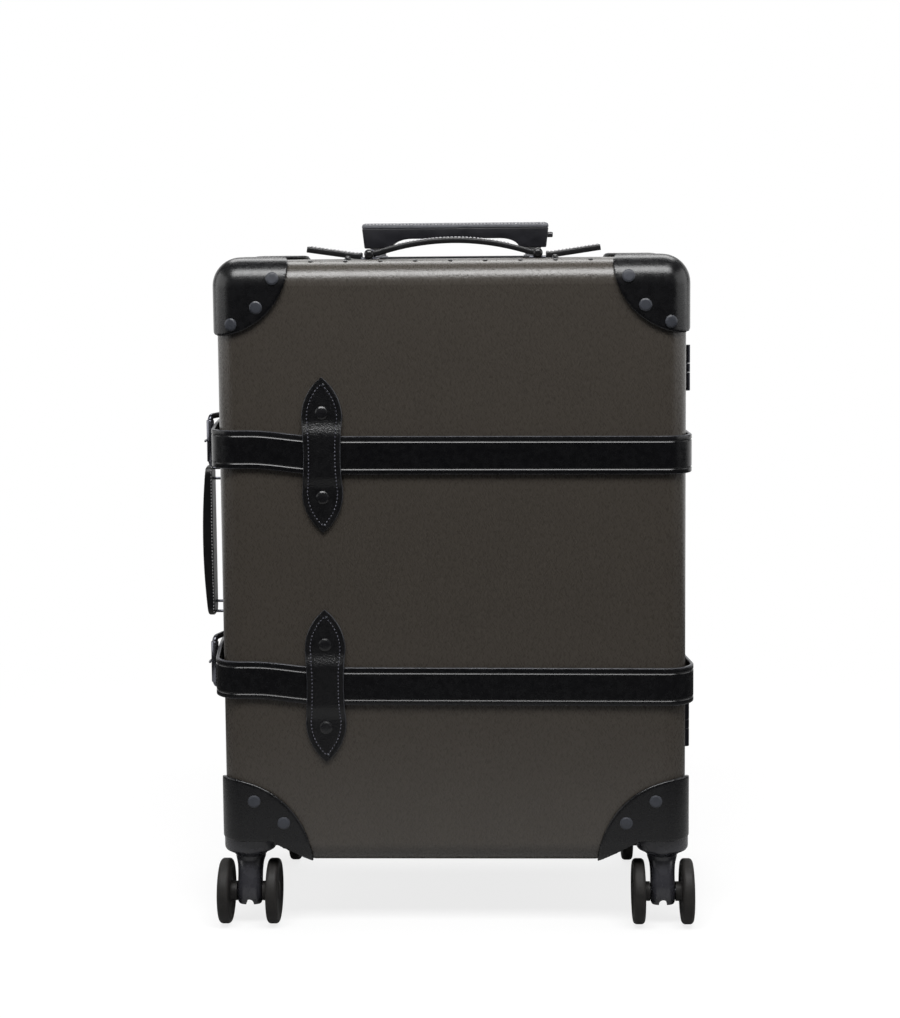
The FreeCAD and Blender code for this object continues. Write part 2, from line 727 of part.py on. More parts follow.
tails = []
for side in (-1, 1):
    tailStart = lugX + value("lugPlateLength / 2 + softGap")
    tailRise = V(side * (tailStart + value("tailLength")), deck + value("tailThickness / 2 + tailLift"), 0)
    tailFlat = V(side * (tailStart + value("tailLength / 3")), deck + value("tailThickness / 2 + softGap"), 0)
    tailRoot = V(side * tailStart, deck + value("tailThickness / 2 + softGap"), 0)
    tail = bandFace([tailRoot, tailFlat, tailRise], [value("tailLength")], value("tailThickness"))
    tails.append(frontView(tail, handleFront).extrude(handleWay))
node("top_handle_tails", formed("topHandleTails", Part.makeCompound(tails)))

lugs = []
pins = []
for number, side in enumerate(tubeSides):
    middle = f"{side} * lugSpan / 2"
    frontEar = f"{handleY} - topHandleWidth / 2 - softGap - lugEar"
    backEar = f"{handleY} + topHandleWidth / 2 + softGap"
    pieces = [block(f"lugPlate{number}", (f"{middle} - lugPlateLength / 2", f"{middle} + lugPlateLength / 2"),
                    (frontEar, f"{backEar} + lugEar"), ("bodyTop", "bodyTop + lugPlate"))]
    for which, start in (("Front", frontEar), ("Back", backEar)):
        pieces.append(rod(f"lugEar{which}{number}", "lugRadius", "lugEar", middle, start,
                          "bodyTop + lugHeight", "y"))
        pieces.append(block(f"lugWeb{which}{number}", (f"{middle} - lugRadius", f"{middle} + lugRadius"),
                            (start, f"{start} + lugEar"), ("bodyTop", "bodyTop + lugHeight")))
    drill = rod(f"lugDrill{number}", "pinRadius + runningClearance", "2 * topHandleWidth", middle,
                f"{handleY} - topHandleWidth", "bodyTop + lugHeight", "y")
    lugs.append(cut(f"lug{number}", fuse(f"lugBlank{number}", pieces), drill))
    pins.append(rod(f"lugPin{number}", "pinRadius", "topHandleWidth + 2 * softGap + 2 * lugEar", middle,
                    frontEar, "bodyTop + lugHeight", "y"))
node("top_handle_lugs", group("topHandleLugs", lugs))
node("top_handle_pins", group("topHandlePins", pins))

# Side handle: a bowed leather grip hung on two wire loops that swing in barrels on the left wall.
wallX = value(f"-({halfWidth})")
handleMiddleY = value(handleY)
pinHeights = (value("lowerBeltHeight + lowerPinRise"), value("upperBeltHeight - upperPinDrop"))
sideZ = sum(pinHeights) / 2
barX = wallX - value("(sideHandleInner + sideHandleEnd) / 2")
axisX = wallX - value("loopAxis")
endHalf = pinHeights[1] - sideZ + value("sideHandleOver")
innerX = wallX - value("sideHandleInner")
endX = wallX - value("sideHandleEnd")
bowX = wallX - value("sideHandleReach")
bow = Part.Arc(V(endX, -endHalf, 0), V(bowX, 0, 0), V(endX, endHalf, 0)).toShape()
inside = [V(endX, endHalf, 0), V(innerX, endHalf, 0), V(innerX, -endHalf, 0), V(endX, -endHalf, 0)]
sideFace = Part.Face(Part.Wire(Part.__sortEdges__([bow] + Part.makePolygon(inside).Edges)))
sideWay = V(0, value("sideHandleWidth"), 0)
sideShape = frontView(sideFace, handleMiddleY - value("sideHandleWidth / 2")).extrude(sideWay)
sideShape = sideShape.translated(V(0, 0, sideZ))
wire = value("loopRadius")
wireRoom = wire + value("softGap")
loopHalf = value("loopWidth / 2")
loops = []
mounts = []
for endZ in pinHeights:
    bars = []
    for x in (axisX, barX):
        bars.append(Part.makeCylinder(wire, 2 * loopHalf, V(x, handleMiddleY, endZ - loopHalf)))
    for z in (endZ - loopHalf, endZ + loopHalf):
        bars.append(Part.makeCylinder(wire, axisX - barX, V(barX, handleMiddleY, z), V(1, 0, 0)))
        bars.extend(Part.makeSphere(wire, V(x, handleMiddleY, z)) for x in (axisX, barX))
    loop = bars[0].multiFuse(bars[1:]).removeSplitter()
    loops.append(loop)
    tunnelFoot = V(barX - wireRoom, handleMiddleY - wireRoom, endZ - loopHalf - wireRoom)
    tunnel = Part.makeBox(axisX - barX + 4 * wire, 2 * wireRoom, 2 * (loopHalf + wireRoom), tunnelFoot)
    sideShape = sideShape.cut(tunnel)
    plateFoot = V(wallX - value("mountPlate"), handleMiddleY - value("mountWidth / 2"),
                  endZ - value("mountLength / 2"))
    plate = Part.makeBox(value("mountPlate"), value("mountWidth"), value("mountLength"), plateFoot)
    barrelHalf = value("mountBarrel / 2")
    barrelRadius = wire + value("mountWall")
    barrel = Part.makeCylinder(barrelRadius, 2 * barrelHalf, V(axisX, handleMiddleY, endZ - barrelHalf))
    web = Part.makeBox(wallX - axisX, 2 * barrelRadius, 2 * barrelHalf,
                       V(axisX, handleMiddleY - barrelRadius, endZ - barrelHalf))
    holeFoot = V(axisX, handleMiddleY, endZ - 2 * barrelHalf)
    hole = Part.makeCylinder(wire + value("runningClearance"), 4 * barrelHalf, holeFoot)
    mounts.append(plate.multiFuse([barrel, web]).cut(hole).removeSplitter())
node("side_handle_grip", formed("sideHandleGrip", sideShape))
node("side_handle_loops", formed("sideHandleLoops", Part.makeCompound(loops)))
node("side_handle_mounts", formed("sideHandleMounts", Part.makeCompound(mounts)))

# Belts: each is two leather runs, one on the lid and one on the base, closed by a buckle on the left wall.
strap = value("beltThickness")
snug = value("beltGap") + strap / 2
sideX = value(halfWidth)
faceY = value(halfDepth)
seam = value(seamY)
bend = value("edgeRadius") + snug
heelY = seam + value("heelBarBack")
heelProud = value("beltGap") + strap + value("foldClearance + heelBarRadius")
foldReach = value("heelBarRadius + foldClearance") + strap / 2
foldTop = heelProud + foldReach
stacked = value("beltGap") + 1.5 * strap + value("foldClearance")
chapeEnd = heelY + value("chapeLength")
billetTop = foldTop + strap + value("softGap")
billetLow = stacked + strap + value("softGap")
barY = heelY - value("buckleLength")
ramp = heelY + value("chapeRamp")
flatEnd = heelY + value("heelBarRadius")
barShare = 0.8
billetAtBar = snug + (billetTop - snug) * barShare
barProud = billetAtBar + strap / 2 + value("2 * softGap + frontBarRadius")
beltFoot = -value("beltWidth / 2")
beltWay = V(0, 0, value("beltWidth"))
prongHalf = value("prongWidth / 2 + prongSlotGap")
levels = {
    "upper": (value("upperBeltHeight"), value("upperBeltSlack")),
    "lower": (value("lowerBeltHeight"), value("lowerBeltSlack")),
}
riseStart = -value("keeperOffset")
riseEnd = value("riseInset") - sideX
lift = value("billetRise")


# The buckled end of each belt stands higher than the rest: the stretch left of the keeper slants up to it.
def risen(band, lineY, z):
    room = V(2 * sideX, 4 * faceY, value("2 * bodyTop"))
    plain = Part.makeBox(*room, V(riseStart, -2 * faceY, 0))
    raised = Part.makeBox(*room, V(riseEnd - room.x, -2 * faceY, 0))
    low = z + beltFoot
    high = z - beltFoot
    slant = Part.makePolygon([V(riseStart, low, 0), V(riseStart, high, 0), V(riseEnd, high + lift, 0),
                              V(riseEnd, low + lift, 0), V(riseStart, low, 0)])
    stretch = frontView(Part.Face(slant), lineY - strap / 2).extrude(V(0, strap, 0))
    end = band.common(raised).translated(V(0, 0, lift))
    return band.common(plain).multiFuse([stretch, end]).removeSplitter()


beltLoops = []
for level, (z, slack) in levels.items():
    rightProud = sideX + snug + slack
    billetRun = [
        V(sideX + snug, seam - value("beltSeamGap"), 0),
        V(sideX + snug, seam - bend / 2, 0),
        V(rightProud, -faceY - snug, 0),
        V(-sideX - snug - value("billetSlack"), -faceY - snug, 0),
        V(-sideX - billetAtBar, barY, 0),
        V(-sideX - billetTop, heelY - strap / 2, 0),
        V(-sideX - billetTop, flatEnd, 0),
        V(-sideX - billetLow, ramp, 0),
        V(-sideX - billetLow + value("softGap"), seam + value("tipLength"), 0),
    ]
    billet = bandFace(billetRun, [bend * 2, bend, bend, bend * 2, bend / 2, bend / 2, bend], strap)
    billetSolid = risen(planView(billet, z + beltFoot).extrude(beltWay), -faceY - snug, z)
    buckleZ = z + lift
    slotFront = heelY - value("prongSwing + prongThickness + prongSlotGap")
    slot = Part.makeBox(4 * billetTop, value("2 * prongSwing + prongThickness"), 2 * prongHalf,
                        V(-sideX - billetTop - foldTop, slotFront, buckleZ - prongHalf))
    node(f"{level}_belt_front", formed(f"{level}BeltFront", billetSolid.cut(slot)))

    nose = heelY - foldReach
    backRun = [
        V(sideX + snug, seam + value("beltSeamGap"), 0),
        V(sideX + snug, faceY + snug, 0),
        V(-sideX - snug, faceY + snug, 0),
        V(-sideX - snug, nose, 0),
        V(-sideX - foldTop, nose, 0),
        V(-sideX - foldTop, flatEnd, 0),
        V(-sideX - stacked, ramp, 0),
        V(-sideX - stacked + value("foldClearance"), chapeEnd, 0),
    ]
    foldRadius = foldReach - value("foldClearance")
    backBelt = bandFace(backRun, [bend, bend, foldRadius, foldRadius, bend / 4, bend / 2], strap)
    backSolid = risen(planView(backBelt, z + beltFoot).extrude(beltWay), faceY + snug, z)
    foldSlot = Part.makeBox(foldTop, 2 * foldTop, 2 * prongHalf,
                            V(-sideX - heelProud - foldTop, heelY - foldTop, buckleZ - prongHalf))
    heelSlot = Part.makeCylinder(foldTop - heelProud, 2 * prongHalf,
                                 V(-sideX - heelProud, heelY, buckleZ - prongHalf))
    node(f"{level}_belt_back", formed(f"{level}BeltBack", backSolid.cut(foldSlot.fuse(heelSlot))))

    railFoot = value("beltWidth / 2 + buckleMargin")
    barHalf = railFoot + value("buckleRail")
    bars = [
        Part.makeCylinder(value("frontBarRadius"), 2 * barHalf, V(-sideX - barProud, barY, buckleZ - barHalf)),
        Part.makeCylinder(value("heelBarRadius"), 2 * barHalf, V(-sideX - heelProud, heelY, buckleZ - barHalf)),
    ]
    railRun = [V(-sideX - barProud, barY, 0), V(-sideX - heelProud, heelY, 0)]
    railFace = bandFace(railRun, [], value("railThickness"))
    for railZ in (buckleZ - barHalf, buckleZ + railFoot):
        bars.append(planView(railFace, railZ).extrude(V(0, 0, value("buckleRail"))))
        for x, y in ((-sideX - barProud, barY), (-sideX - heelProud, heelY)):
            bars.append(Part.makeCylinder(value("railThickness / 2"), value("buckleRail"), V(x, y, railZ)))
    node(f"{level}_buckle_frame", formed(f"{level}BuckleFrame", bars[0].multiFuse(bars[1:]).removeSplitter()))

    eyeRadius = value("heelBarRadius + runningClearance + prongThickness / 2")
    prongHeight = value("prongWidth")
    prongFoot = buckleZ - prongHeight / 2
    eye = Part.makeCylinder(eyeRadius, prongHeight, V(-sideX - heelProud, heelY, prongFoot))
    tipX = -sideX - barProud - value("frontBarRadius + softGap + prongThickness / 2")
    elbowX = -sideX - billetTop - strap / 2 - value("prongThickness")
    prongRun = [V(-sideX - heelProud - eyeRadius / 2, heelY - value("prongThickness / 2"), 0),
                V(elbowX, heelY - value("prongSwing"), 0),
                V(tipX, barY, 0),
                V(tipX, barY - value("frontBarRadius + prongThickness / 2"), 0)]
    shank = planView(bandFace(prongRun, [value("prongThickness")] * 2, value("prongThickness")), prongFoot)
    shank = shank.extrude(V(0, 0, prongHeight))
    pivot = Part.makeCylinder(value("heelBarRadius + runningClearance"), 2 * prongHeight,
                              V(-sideX - heelProud, heelY, buckleZ - prongHeight))
    node(f"{level}_buckle_prong", formed(f"{level}BuckleProng", eye.fuse(shank).cut(pivot).removeSplitter()))

    loopStart = chapeEnd - value("2 * beltLoopLength")
    loopTop = billetLow + strap / 2 + value("2 * softGap")
    loopThick = value("beltLoopThickness")
    loopHalf = value("beltWidth / 2 + softGap")
    outerLoop = Part.makeBox(loopTop + loopThick, value("beltLoopLength"), 2 * (loopHalf + loopThick),
                             V(-sideX - loopTop - loopThick, loopStart, buckleZ - loopHalf - loopThick))
    innerLoop = Part.makeBox(loopTop, value("beltLoopLength"), 2 * loopHalf,
                             V(-sideX - loopTop, loopStart, buckleZ - loopHalf))
    beltLoops.append(outerLoop.cut(innerLoop).translated(V(-value("leatherGap"), 0, 0)))
node("belt_loops", formed("beltLoops", Part.makeCompound(beltLoops)))

# Belt keepers: waisted leather leaves riveted over the belts, on the front and the back.
keeperHalf = value("keeperLength / 2")
lobeX = value("keeperLobeWidth / 2")
lobeZ = value("keeperLobeHeight")
waistX = value("keeperWaistWidth / 2")
flank = (lobeX * 0.79, (keeperHalf + lobeZ) / 2)
leafEdges = []
for side in (-1, 1):
    waist = Part.Arc(V(side * lobeX, lobeZ, 0), V(side * waistX, 0, 0), V(side * lobeX, -lobeZ, 0))
    leafEdges.append(waist.toShape())
    for end in (-1, 1):
        leafEdges.append(Part.Arc(V(0, end * keeperHalf, 0), V(side * flank[0], end * flank[1], 0),
                                  V(side * lobeX, end * lobeZ, 0)).toShape())
leafFace = Part.Face(Part.Wire(Part.__sortEdges__(leafEdges)))
leather = value("keeperLeather")
lowLine = value("leatherGap") + leather / 2
highLine = value("beltGap + beltThickness + softGap") + leather / 2
shoulder = value("beltWidth / 2 + keeperShoulder")
rampEnd = shoulder + value("keeperRamp")
archRun = [V(lowLine, -keeperHalf, 0), V(lowLine, -rampEnd, 0), V(highLine, -shoulder, 0),
           V(highLine, shoulder, 0), V(lowLine, rampEnd, 0), V(lowLine, keeperHalf, 0)]
archFace = bandFace(archRun, [leather] * 4, leather)
keeperX = -value("keeperOffset")


def keeperShape(z, sign):
    arch = sideView(archFace, keeperX - 2 * lobeX).extrude(V(4 * lobeX, 0, 0))
    leaf = frontView(leafFace, -highLine).extrude(V(0, 4 * highLine, 0)).translated(V(keeperX, 0, 0))
    shape = arch.common(leaf)
    if sign < 0:
        shape = shape.mirror(V(), V(0, 1, 0))
    return shape.translated(V(0, sign * faceY, z))


def rivetHead(point, outward):
    rim = Part.makeCylinder(value("rivetRadius"), value("rivetRim"), V(0, 0, value("rivetSeat")))
    dome = value("rivetDome")
    ball = (value("rivetRadius") ** 2 + dome ** 2) / (2 * dome)
    top = value("rivetSeat + rivetRim")
    cap = Part.makeSphere(ball, V(0, 0, top + dome - ball))
    slab = Part.makeCylinder(value("rivetRadius"), dome, V(0, 0, top))
    head = rim.fuse(cap.common(slab)).removeSplitter()
    head.Placement = FreeCAD.Placement(point, FreeCAD.Rotation(V(0, 0, 1), outward))
    return head


rivets = {"lid": [], "base": []}
for half, sign, view in (("lid", -1, "front"), ("base", 1, "back")):
    for level, (z, slack) in levels.items():
        node(f"{level}_keeper_{view}", formed(f"{level}Keeper{view}", keeperShape(z, sign)))
        for end in (-1, 1):
            seat = V(keeperX, sign * (faceY + lowLine + leather / 2), z + end * value("keeperRivetHeight"))
            rivets[half].append(rivetHead(seat, V(0, sign, 0)))

# Corner rivets: on the top corners one on the flat and one on each rounded edge, on the bottom corners two.
skinOut = value("leatherGap + leatherThickness")
edge = value("edgeRadius")
topZ = value("bodyTop")
bottomZ = value("bodyBottom")
reachTop = value("topCornerReach")
reachLow = value("bottomCornerReach")
edgeTilt = math.radians(15.6)
# Their places are shares of the leather's reach: inward, then down from the top or up from the bottom.
flatShare = (0.57, 0.615)
ridgeShare = (0.795, 0.84)
lowShares = ((0.35, 0.745), (0.68, 0.495))
for half, sign in (("lid", -1), ("base", 1)):
    for x in (-1, 1):
        flatX = x * (sideX - reachTop * flatShare[0])
        flatSpot = V(flatX, sign * (faceY + skinOut), topZ - reachTop * flatShare[1])
        rivets[half].append(rivetHead(flatSpot, V(0, sign, 0)))
        ridge = V(0, sign * math.cos(edgeTilt), math.sin(edgeTilt))
        onTop = V(x * (sideX - reachTop * ridgeShare[0]), sign * (faceY - edge), topZ - edge)
        rivets[half].append(rivetHead(onTop + ridge * (edge + skinOut), ridge))
        ridge = V(x * math.sin(edgeTilt), sign * math.cos(edgeTilt), 0)
        onSide = V(x * (sideX - edge), sign * (faceY - edge), topZ - reachTop * ridgeShare[1])
        rivets[half].append(rivetHead(onSide + ridge * (edge + skinOut), ridge))
        for inward, upward in lowShares:
            lowX = x * (sideX - reachLow * inward)
            lowSpot = V(lowX, sign * (faceY + skinOut), bottomZ + reachLow * upward)
            rivets[half].append(rivetHead(lowSpot, V(0, sign, 0)))
for half, heads in rivets.items():
    node(f"{half}_rivets", formed(half + "Rivets", Part.makeCompound(heads)))

# Hinges on the right wall: a three-knuckle barrel each, with the middle knuckle on the lid's leaf.
leaves = {"lid": [], "base": []}
hingePins = []
hingeHeights = {"upper": "(upperBeltHeight + upperHingeRise)", "lower": "(lowerBeltHeight - lowerHingeDrop)"}
for level, middle in hingeHeights.items():
    knuckles = {
        "lid": [(f"{middle} - hingeMiddle / 2", f"{middle} + hingeMiddle / 2")],
        "base": [(f"{middle} - hingeLength / 2", f"{middle} - hingeMiddle / 2 - hingeGap"),
                 (f"{middle} + hingeMiddle / 2 + hingeGap", f"{middle} + hingeLength / 2")],
    }
    for half, sign in (("lid", -1), ("base", 1)):
        name = f"{level}{half}Leaf"
        near = f"{seamY} + {sign} * (hingeBarrelRadius + hingeGap)"
        far = f"{seamY} + {sign} * hingeLeafLength"
        ys = (far, near) if sign < 0 else (near, far)
        wall = (halfWidth, f"{halfWidth} + hingeLeafThickness")
        tall = (f"{middle} - hingeLength / 2", f"{middle} + hingeLength / 2")
        pieces = [block(name + "Plate", wall, ys, tall)]
        for number, (low, high) in enumerate(knuckles[half]):
            pieces.append(rod(f"{name}Knuckle{number}", "hingeBarrelRadius", f"({high}) - ({low})", hingeX,
                              seamY, low))
            webYs = (near, seamY) if sign < 0 else (seamY, near)
            webXs = (f"{hingeX} - hingeBarrelRadius", hingeX)
            pieces.append(block(f"{name}Web{number}", webXs, webYs, (low, high)))
            pieces.append(block(f"{name}Toe{number}", wall, webYs, (low, high)))
        drill = rod(name + "Drill", "hingePinRadius + runningClearance", "2 * hingeLength", hingeX, seamY,
                    f"{middle} - hingeLength")
        leaves[half].append(cut(name, fuse(name + "Blank", pieces), drill))
    hingePins.append(rod(f"{level}HingePin", "hingePinRadius", "hingeLength", hingeX, seamY,
                         f"{middle} - hingeLength / 2"))
for half, pieces in leaves.items():
    node(f"hinge_{half}_leaves", group(half + "Leaves", pieces))
node("hinge_pins", group("hingePins", hingePins))

doc.recompute()
faults = [item.Label for item in doc.Objects if {"Invalid", "Error"} & set(item.State)]
for label, item in nodes.items():
    if item.Shape.isNull() or not item.Shape.isValid() or not item.Shape.Solids:
        faults.append(label)
if faults:
    raise RuntimeError("faulty pieces: " + ", ".join(faults))

os.makedirs("parts", exist_ok=True)
for label, item in nodes.items():
    item.Shape.exportStep(f"parts/{label}.step")
print(len(nodes), "pieces written")
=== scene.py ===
import json
import math
from contextlib import contextmanager

import bmesh
import bpy
from mathutils import Matrix, Vector, noise


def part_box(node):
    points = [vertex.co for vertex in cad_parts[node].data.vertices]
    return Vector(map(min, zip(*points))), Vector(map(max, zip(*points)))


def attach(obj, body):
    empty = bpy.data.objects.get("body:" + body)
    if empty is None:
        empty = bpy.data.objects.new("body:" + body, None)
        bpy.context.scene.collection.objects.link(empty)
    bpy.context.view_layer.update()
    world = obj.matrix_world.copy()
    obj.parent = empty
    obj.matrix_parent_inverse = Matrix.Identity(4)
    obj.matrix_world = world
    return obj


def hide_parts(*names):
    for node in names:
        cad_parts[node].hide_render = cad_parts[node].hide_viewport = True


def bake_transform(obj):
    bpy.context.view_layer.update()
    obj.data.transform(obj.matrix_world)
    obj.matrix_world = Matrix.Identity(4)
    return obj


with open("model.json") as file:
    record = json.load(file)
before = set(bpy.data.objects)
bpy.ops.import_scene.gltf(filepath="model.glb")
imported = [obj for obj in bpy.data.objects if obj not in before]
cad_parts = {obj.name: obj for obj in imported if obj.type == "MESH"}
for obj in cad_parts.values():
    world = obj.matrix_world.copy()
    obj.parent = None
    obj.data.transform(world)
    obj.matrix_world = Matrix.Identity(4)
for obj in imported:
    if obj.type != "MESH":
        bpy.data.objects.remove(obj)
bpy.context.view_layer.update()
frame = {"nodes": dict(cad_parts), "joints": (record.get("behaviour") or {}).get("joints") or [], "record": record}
nodes = frame["nodes"]
joints = {joint["name"]: joint for joint in frame["joints"]}
mm = 0.001  # sizes below are in millimetres
print("frame loaded:", len(nodes), "pieces")

# Where the case stands, read from the frame; across is measured from the case's own middle
lidLow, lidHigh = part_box("lid_shell")
baseLow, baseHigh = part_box("base_shell")
middleX = (lidLow.x + lidHigh.x) / 2
case = {
    "half": (lidHigh.x - lidLow.x) / 2 / mm,
    "front": lidLow.y / mm,
    "back": baseHigh.y / mm,
    "bottom": lidLow.z / mm,
    "top": lidHigh.z / mm,
    "seam": (lidHigh.y + baseLow.y) / 2 / mm,
    "edge": 20.0,
}
levels = ("upper", "lower")
casters = ("front_left", "front_right", "rear_left", "rear_right")


def spot(across, along, up):
    return Vector((middleX + across * mm, along * mm, up * mm))


def pivot(joint):
    x, y, z = joints[joint]["pos_m"]
    return Vector(((x - middleX) / mm, y / mm, z / mm))


# Colour and node helpers
def linearColour(text):
    parts = [int(text[i:i + 2], 16) / 255 for i in (1, 3, 5)]
    return tuple(c / 12.92 if c <= 0.04045 else ((c + 0.055) / 1.055) ** 2.4 for c in parts) + (1.0,)


def addNode(tree, kind, settings=None, **sockets):
    made = tree.nodes.new(kind)
    for key, setting in (settings or {}).items():
        setattr(made, key, setting)
    for key, feed in sockets.items():
        byNumber = key[0] == "i" and key[1:].isdigit()
        socket = made.inputs[int(key[1:])] if byNumber else made.inputs[key.replace("_", " ")]
        if isinstance(feed, bpy.types.NodeSocket):
            tree.links.new(feed, socket)
        else:
            socket.default_value = feed
    return made


def newMaterial(name, colour, **sockets):
    material = bpy.data.materials.new(name)
    material.use_nodes = True
    tree = material.node_tree
    shader = tree.nodes["Principled BSDF"]
    shader.inputs["Base Color"].default_value = linearColour(colour)
    for key, setting in sockets.items():
        shader.inputs[key.replace("_", " ")].default_value = setting
    return material, tree, shader


def grainCoordinates(tree, spacing, lean=0.0):
    place = addNode(tree, "ShaderNodeTexCoord")
    mapping = addNode(tree, "ShaderNodeMapping", {"vector_type": "TEXTURE"}, Vector=place.outputs["Object"],
                      Scale=tuple(s * mm for s in spacing), Rotation=(0, math.radians(lean), 0))
    return mapping.outputs["Vector"]


def noiseOf(tree, spacing, detail=3.0, rough=0.55, distortion=0.0, lean=0.0):
    made = addNode(tree, "ShaderNodeTexNoise", None, Vector=grainCoordinates(tree, spacing, lean), Scale=1.0,
                   Detail=detail, Roughness=rough, Distortion=distortion)
    return made.outputs["Fac"]


def rampOf(tree, factor, stops):
    ramp = addNode(tree, "ShaderNodeValToRGB", None, Fac=factor)
    points = ramp.color_ramp.elements
    while len(points) < len(stops):
        points.new(0.5)
    for point, (position, colour) in zip(points, stops):
        point.position = position
        point.color = linearColour(colour) if isinstance(colour, str) else (colour, colour, colour, 1)
    return ramp.outputs["Color"]


def feedRamp(tree, shader, socket, factor, stops):
    tree.links.new(rampOf(tree, factor, stops), shader.inputs[socket])


def mixOf(tree, share, first, second):
    return addNode(tree, "ShaderNodeMix", {"data_type": "FLOAT"}, Factor=share, A=first, B=second).outputs[0]


def mathOf(tree, operation, *feeds):
    sockets = {f"i{number}": feed for number, feed in enumerate(feeds)}
    return addNode(tree, "ShaderNodeMath", {"operation": operation}, **sockets).outputs[0]


# Sharp edges turn from the body's colour to the edge's, between two measures of how sharp they are. On leather
# this paler edge is partly the edge's own colour and partly a painted highlight; on plated steel it is scuffed
# wear
def edgeWearAndHighlight(tree, shader, body, edge, start, end):
    sharp = addNode(tree, "ShaderNodeNewGeometry").outputs["Pointiness"]
    paleEdgeShare = rampOf(tree, sharp, [(start, 0.0), (end, 1.0)])
    paled = addNode(tree, "ShaderNodeMix", {"data_type": "RGBA"}, i0=paleEdgeShare, i6=body, i7=linearColour(edge))
    tree.links.new(paled.outputs[2], shader.inputs["Base Color"])


def surfaceBump(tree, shader, height, strength, depth, under=None):
    bump = addNode(tree, "ShaderNodeBump", None, Height=height, Strength=strength, Distance=depth * mm)
    if under is not None:
        tree.links.new(under, bump.inputs["Normal"])
    tree.links.new(bump.outputs["Normal"], shader.inputs["Normal"])
    return bump.outputs["Normal"]


# Vulcanised fibreboard: pressed and calendered paper, so a low sheen broken up by crossing fibres
fibreboardLook = {
    "dark": "#35312c", "light": "#433e38", "fibre": (1.0, 1.0, 4.2), "lean": (24.0, -32.0),
    "patch": (30, 30, 44), "patchShare": 0.12, "rough": (0.22, 0.36), "bump": 0.6, "depth": 0.4,
}


def makeFibreboard():
    look = fibreboardLook
    material, tree, shader = newMaterial("vulcanisedFibreboard", look["light"], IOR=1.6)
    fibres, hairs = (noiseOf(tree, look["fibre"], detail=2.0, rough=0.5, distortion=0.3, lean=lean)
                     for lean in look["lean"])
    marks = mixOf(tree, 0.5, fibres, hairs)
    tone = mixOf(tree, look["patchShare"], marks, noiseOf(tree, look["patch"]))
    feedRamp(tree, shader, "Base Color", tone, [(0.3, look["dark"]), (0.7, look["light"])])
    low, high = look["rough"]
    feedRamp(tree, shader, "Roughness", marks, [(0.3, low), (0.7, high)])
    surfaceBump(tree, shader, marks, look["bump"], look["depth"])
    return material


# Bridle leather: waxed and glazed cowhide, so near black with a soft gloss and fine pores; its sharp edges are
# painted paler, partly their own colour and partly a painted highlight
leatherLook = {"dark": "#08080a", "light": "#0d0d0f", "edge": "#1c1d20", "pore": 0.9, "crease": (5, 5, 5)}


def makeLeather(name, rough, pores, gloss, poreDepth=0.12):
    look = leatherLook
    material, tree, shader = newMaterial(name, look["light"], IOR=1.5, Specular_IOR_Level=gloss)
    pore = (look["pore"],) * 3
    cells = addNode(tree, "ShaderNodeTexVoronoi", {"feature": "SMOOTH_F1"},
                    Vector=grainCoordinates(tree, pore), Scale=1.0)
    creases = noiseOf(tree, look["crease"], detail=6.0, rough=0.65)
    body = rampOf(tree, creases, [(0.35, look["dark"]), (0.65, look["light"])])
    # sharp edges painted paler: partly the cut edge's own colour, partly a painted highlight
    edgeWearAndHighlight(tree, shader, body, look["edge"], start=0.53, end=0.6)
    feedRamp(tree, shader, "Roughness", creases, [(0.3, rough - 0.03), (0.7, rough + 0.06)])
    under = surfaceBump(tree, shader, creases, strength=0.05, depth=0.25)
    surfaceBump(tree, shader, cells.outputs["Distance"], pores, poreDepth, under)
    return material


# Plated steel: black nickel or gunmetal over pressed steel, so a dark face with bright scuffed edges
def makePlate(name, colour, edge, rough):
    material, tree, shader = newMaterial(name, colour, Metallic=1.0)
    scuffs = noiseOf(tree, (0.8, 0.8, 0.8), detail=4.0)
    edgeWearAndHighlight(tree, shader, linearColour(colour), edge, start=0.52, end=0.58)
    feedRamp(tree, shader, "Roughness", scuffs, [(0.3, rough - 0.06), (0.7, rough + 0.1)])
    surfaceBump(tree, shader, scuffs, strength=0.12, depth=0.05)
    return material


# Injection mouldings in nylon, ABS and rubber: a spark-eroded mould gives an even fine matt grain
def makeMoulding(name, dark, light, rough, grit=0.6, bump=0.3, gloss=0.5):
    material, tree, shader = newMaterial(name, light, Specular_IOR_Level=gloss)
    grains = noiseOf(tree, (grit,) * 3, rough=0.6)
    clouds = noiseOf(tree, (9, 9, 9), detail=4.0)
    tone = mixOf(tree, 0.5, grains, clouds)
    feedRamp(tree, shader, "Base Color", tone, [(0.35, dark), (0.65, light)])
    feedRamp(tree, shader, "Roughness", clouds, [(0.3, rough - 0.05), (0.7, rough + 0.08)])
    surfaceBump(tree, shader, grains, bump, depth=0.1)
    return material


# Anodised aluminium tube: drawn, so a satin face with long fine lines along its length
def makeTube():
    material, tree, shader = newMaterial("anodisedAluminium", "#b9babd", Metallic=0.8)
    lines = noiseOf(tree, (0.5, 0.5, 60))
    feedRamp(tree, shader, "Base Color", lines, [(0.3, "#b4b5b9"), (0.7, "#cfd0d3")])
    feedRamp(tree, shader, "Roughness", lines, [(0.3, 0.36), (0.7, 0.5)])
    surfaceBump(tree, shader, lines, strength=0.1, depth=0.05)
    return material


# Twill lining: woven viscose, drawn with threads coarse enough to show
def makeLining():
    material, tree, shader = newMaterial("twillLining", "#6a6253", Roughness=0.85)
    twill = addNode(tree, "ShaderNodeTexWave", {"wave_type": "BANDS", "bands_direction": "DIAGONAL"},
                    Vector=grainCoordinates(tree, (2.4, 2.4, 2.4)), Scale=0.5, Distortion=0.4)
    threads = twill.outputs["Fac"]
    tone = mixOf(tree, 0.35, threads, noiseOf(tree, (40, 40, 40)))
    feedRamp(tree, shader, "Base Color", tone, [(0.2, "#4d463a"), (0.8, "#736a59")])
    surfaceBump(tree, shader, threads, strength=0.4, depth=0.15)
    return material


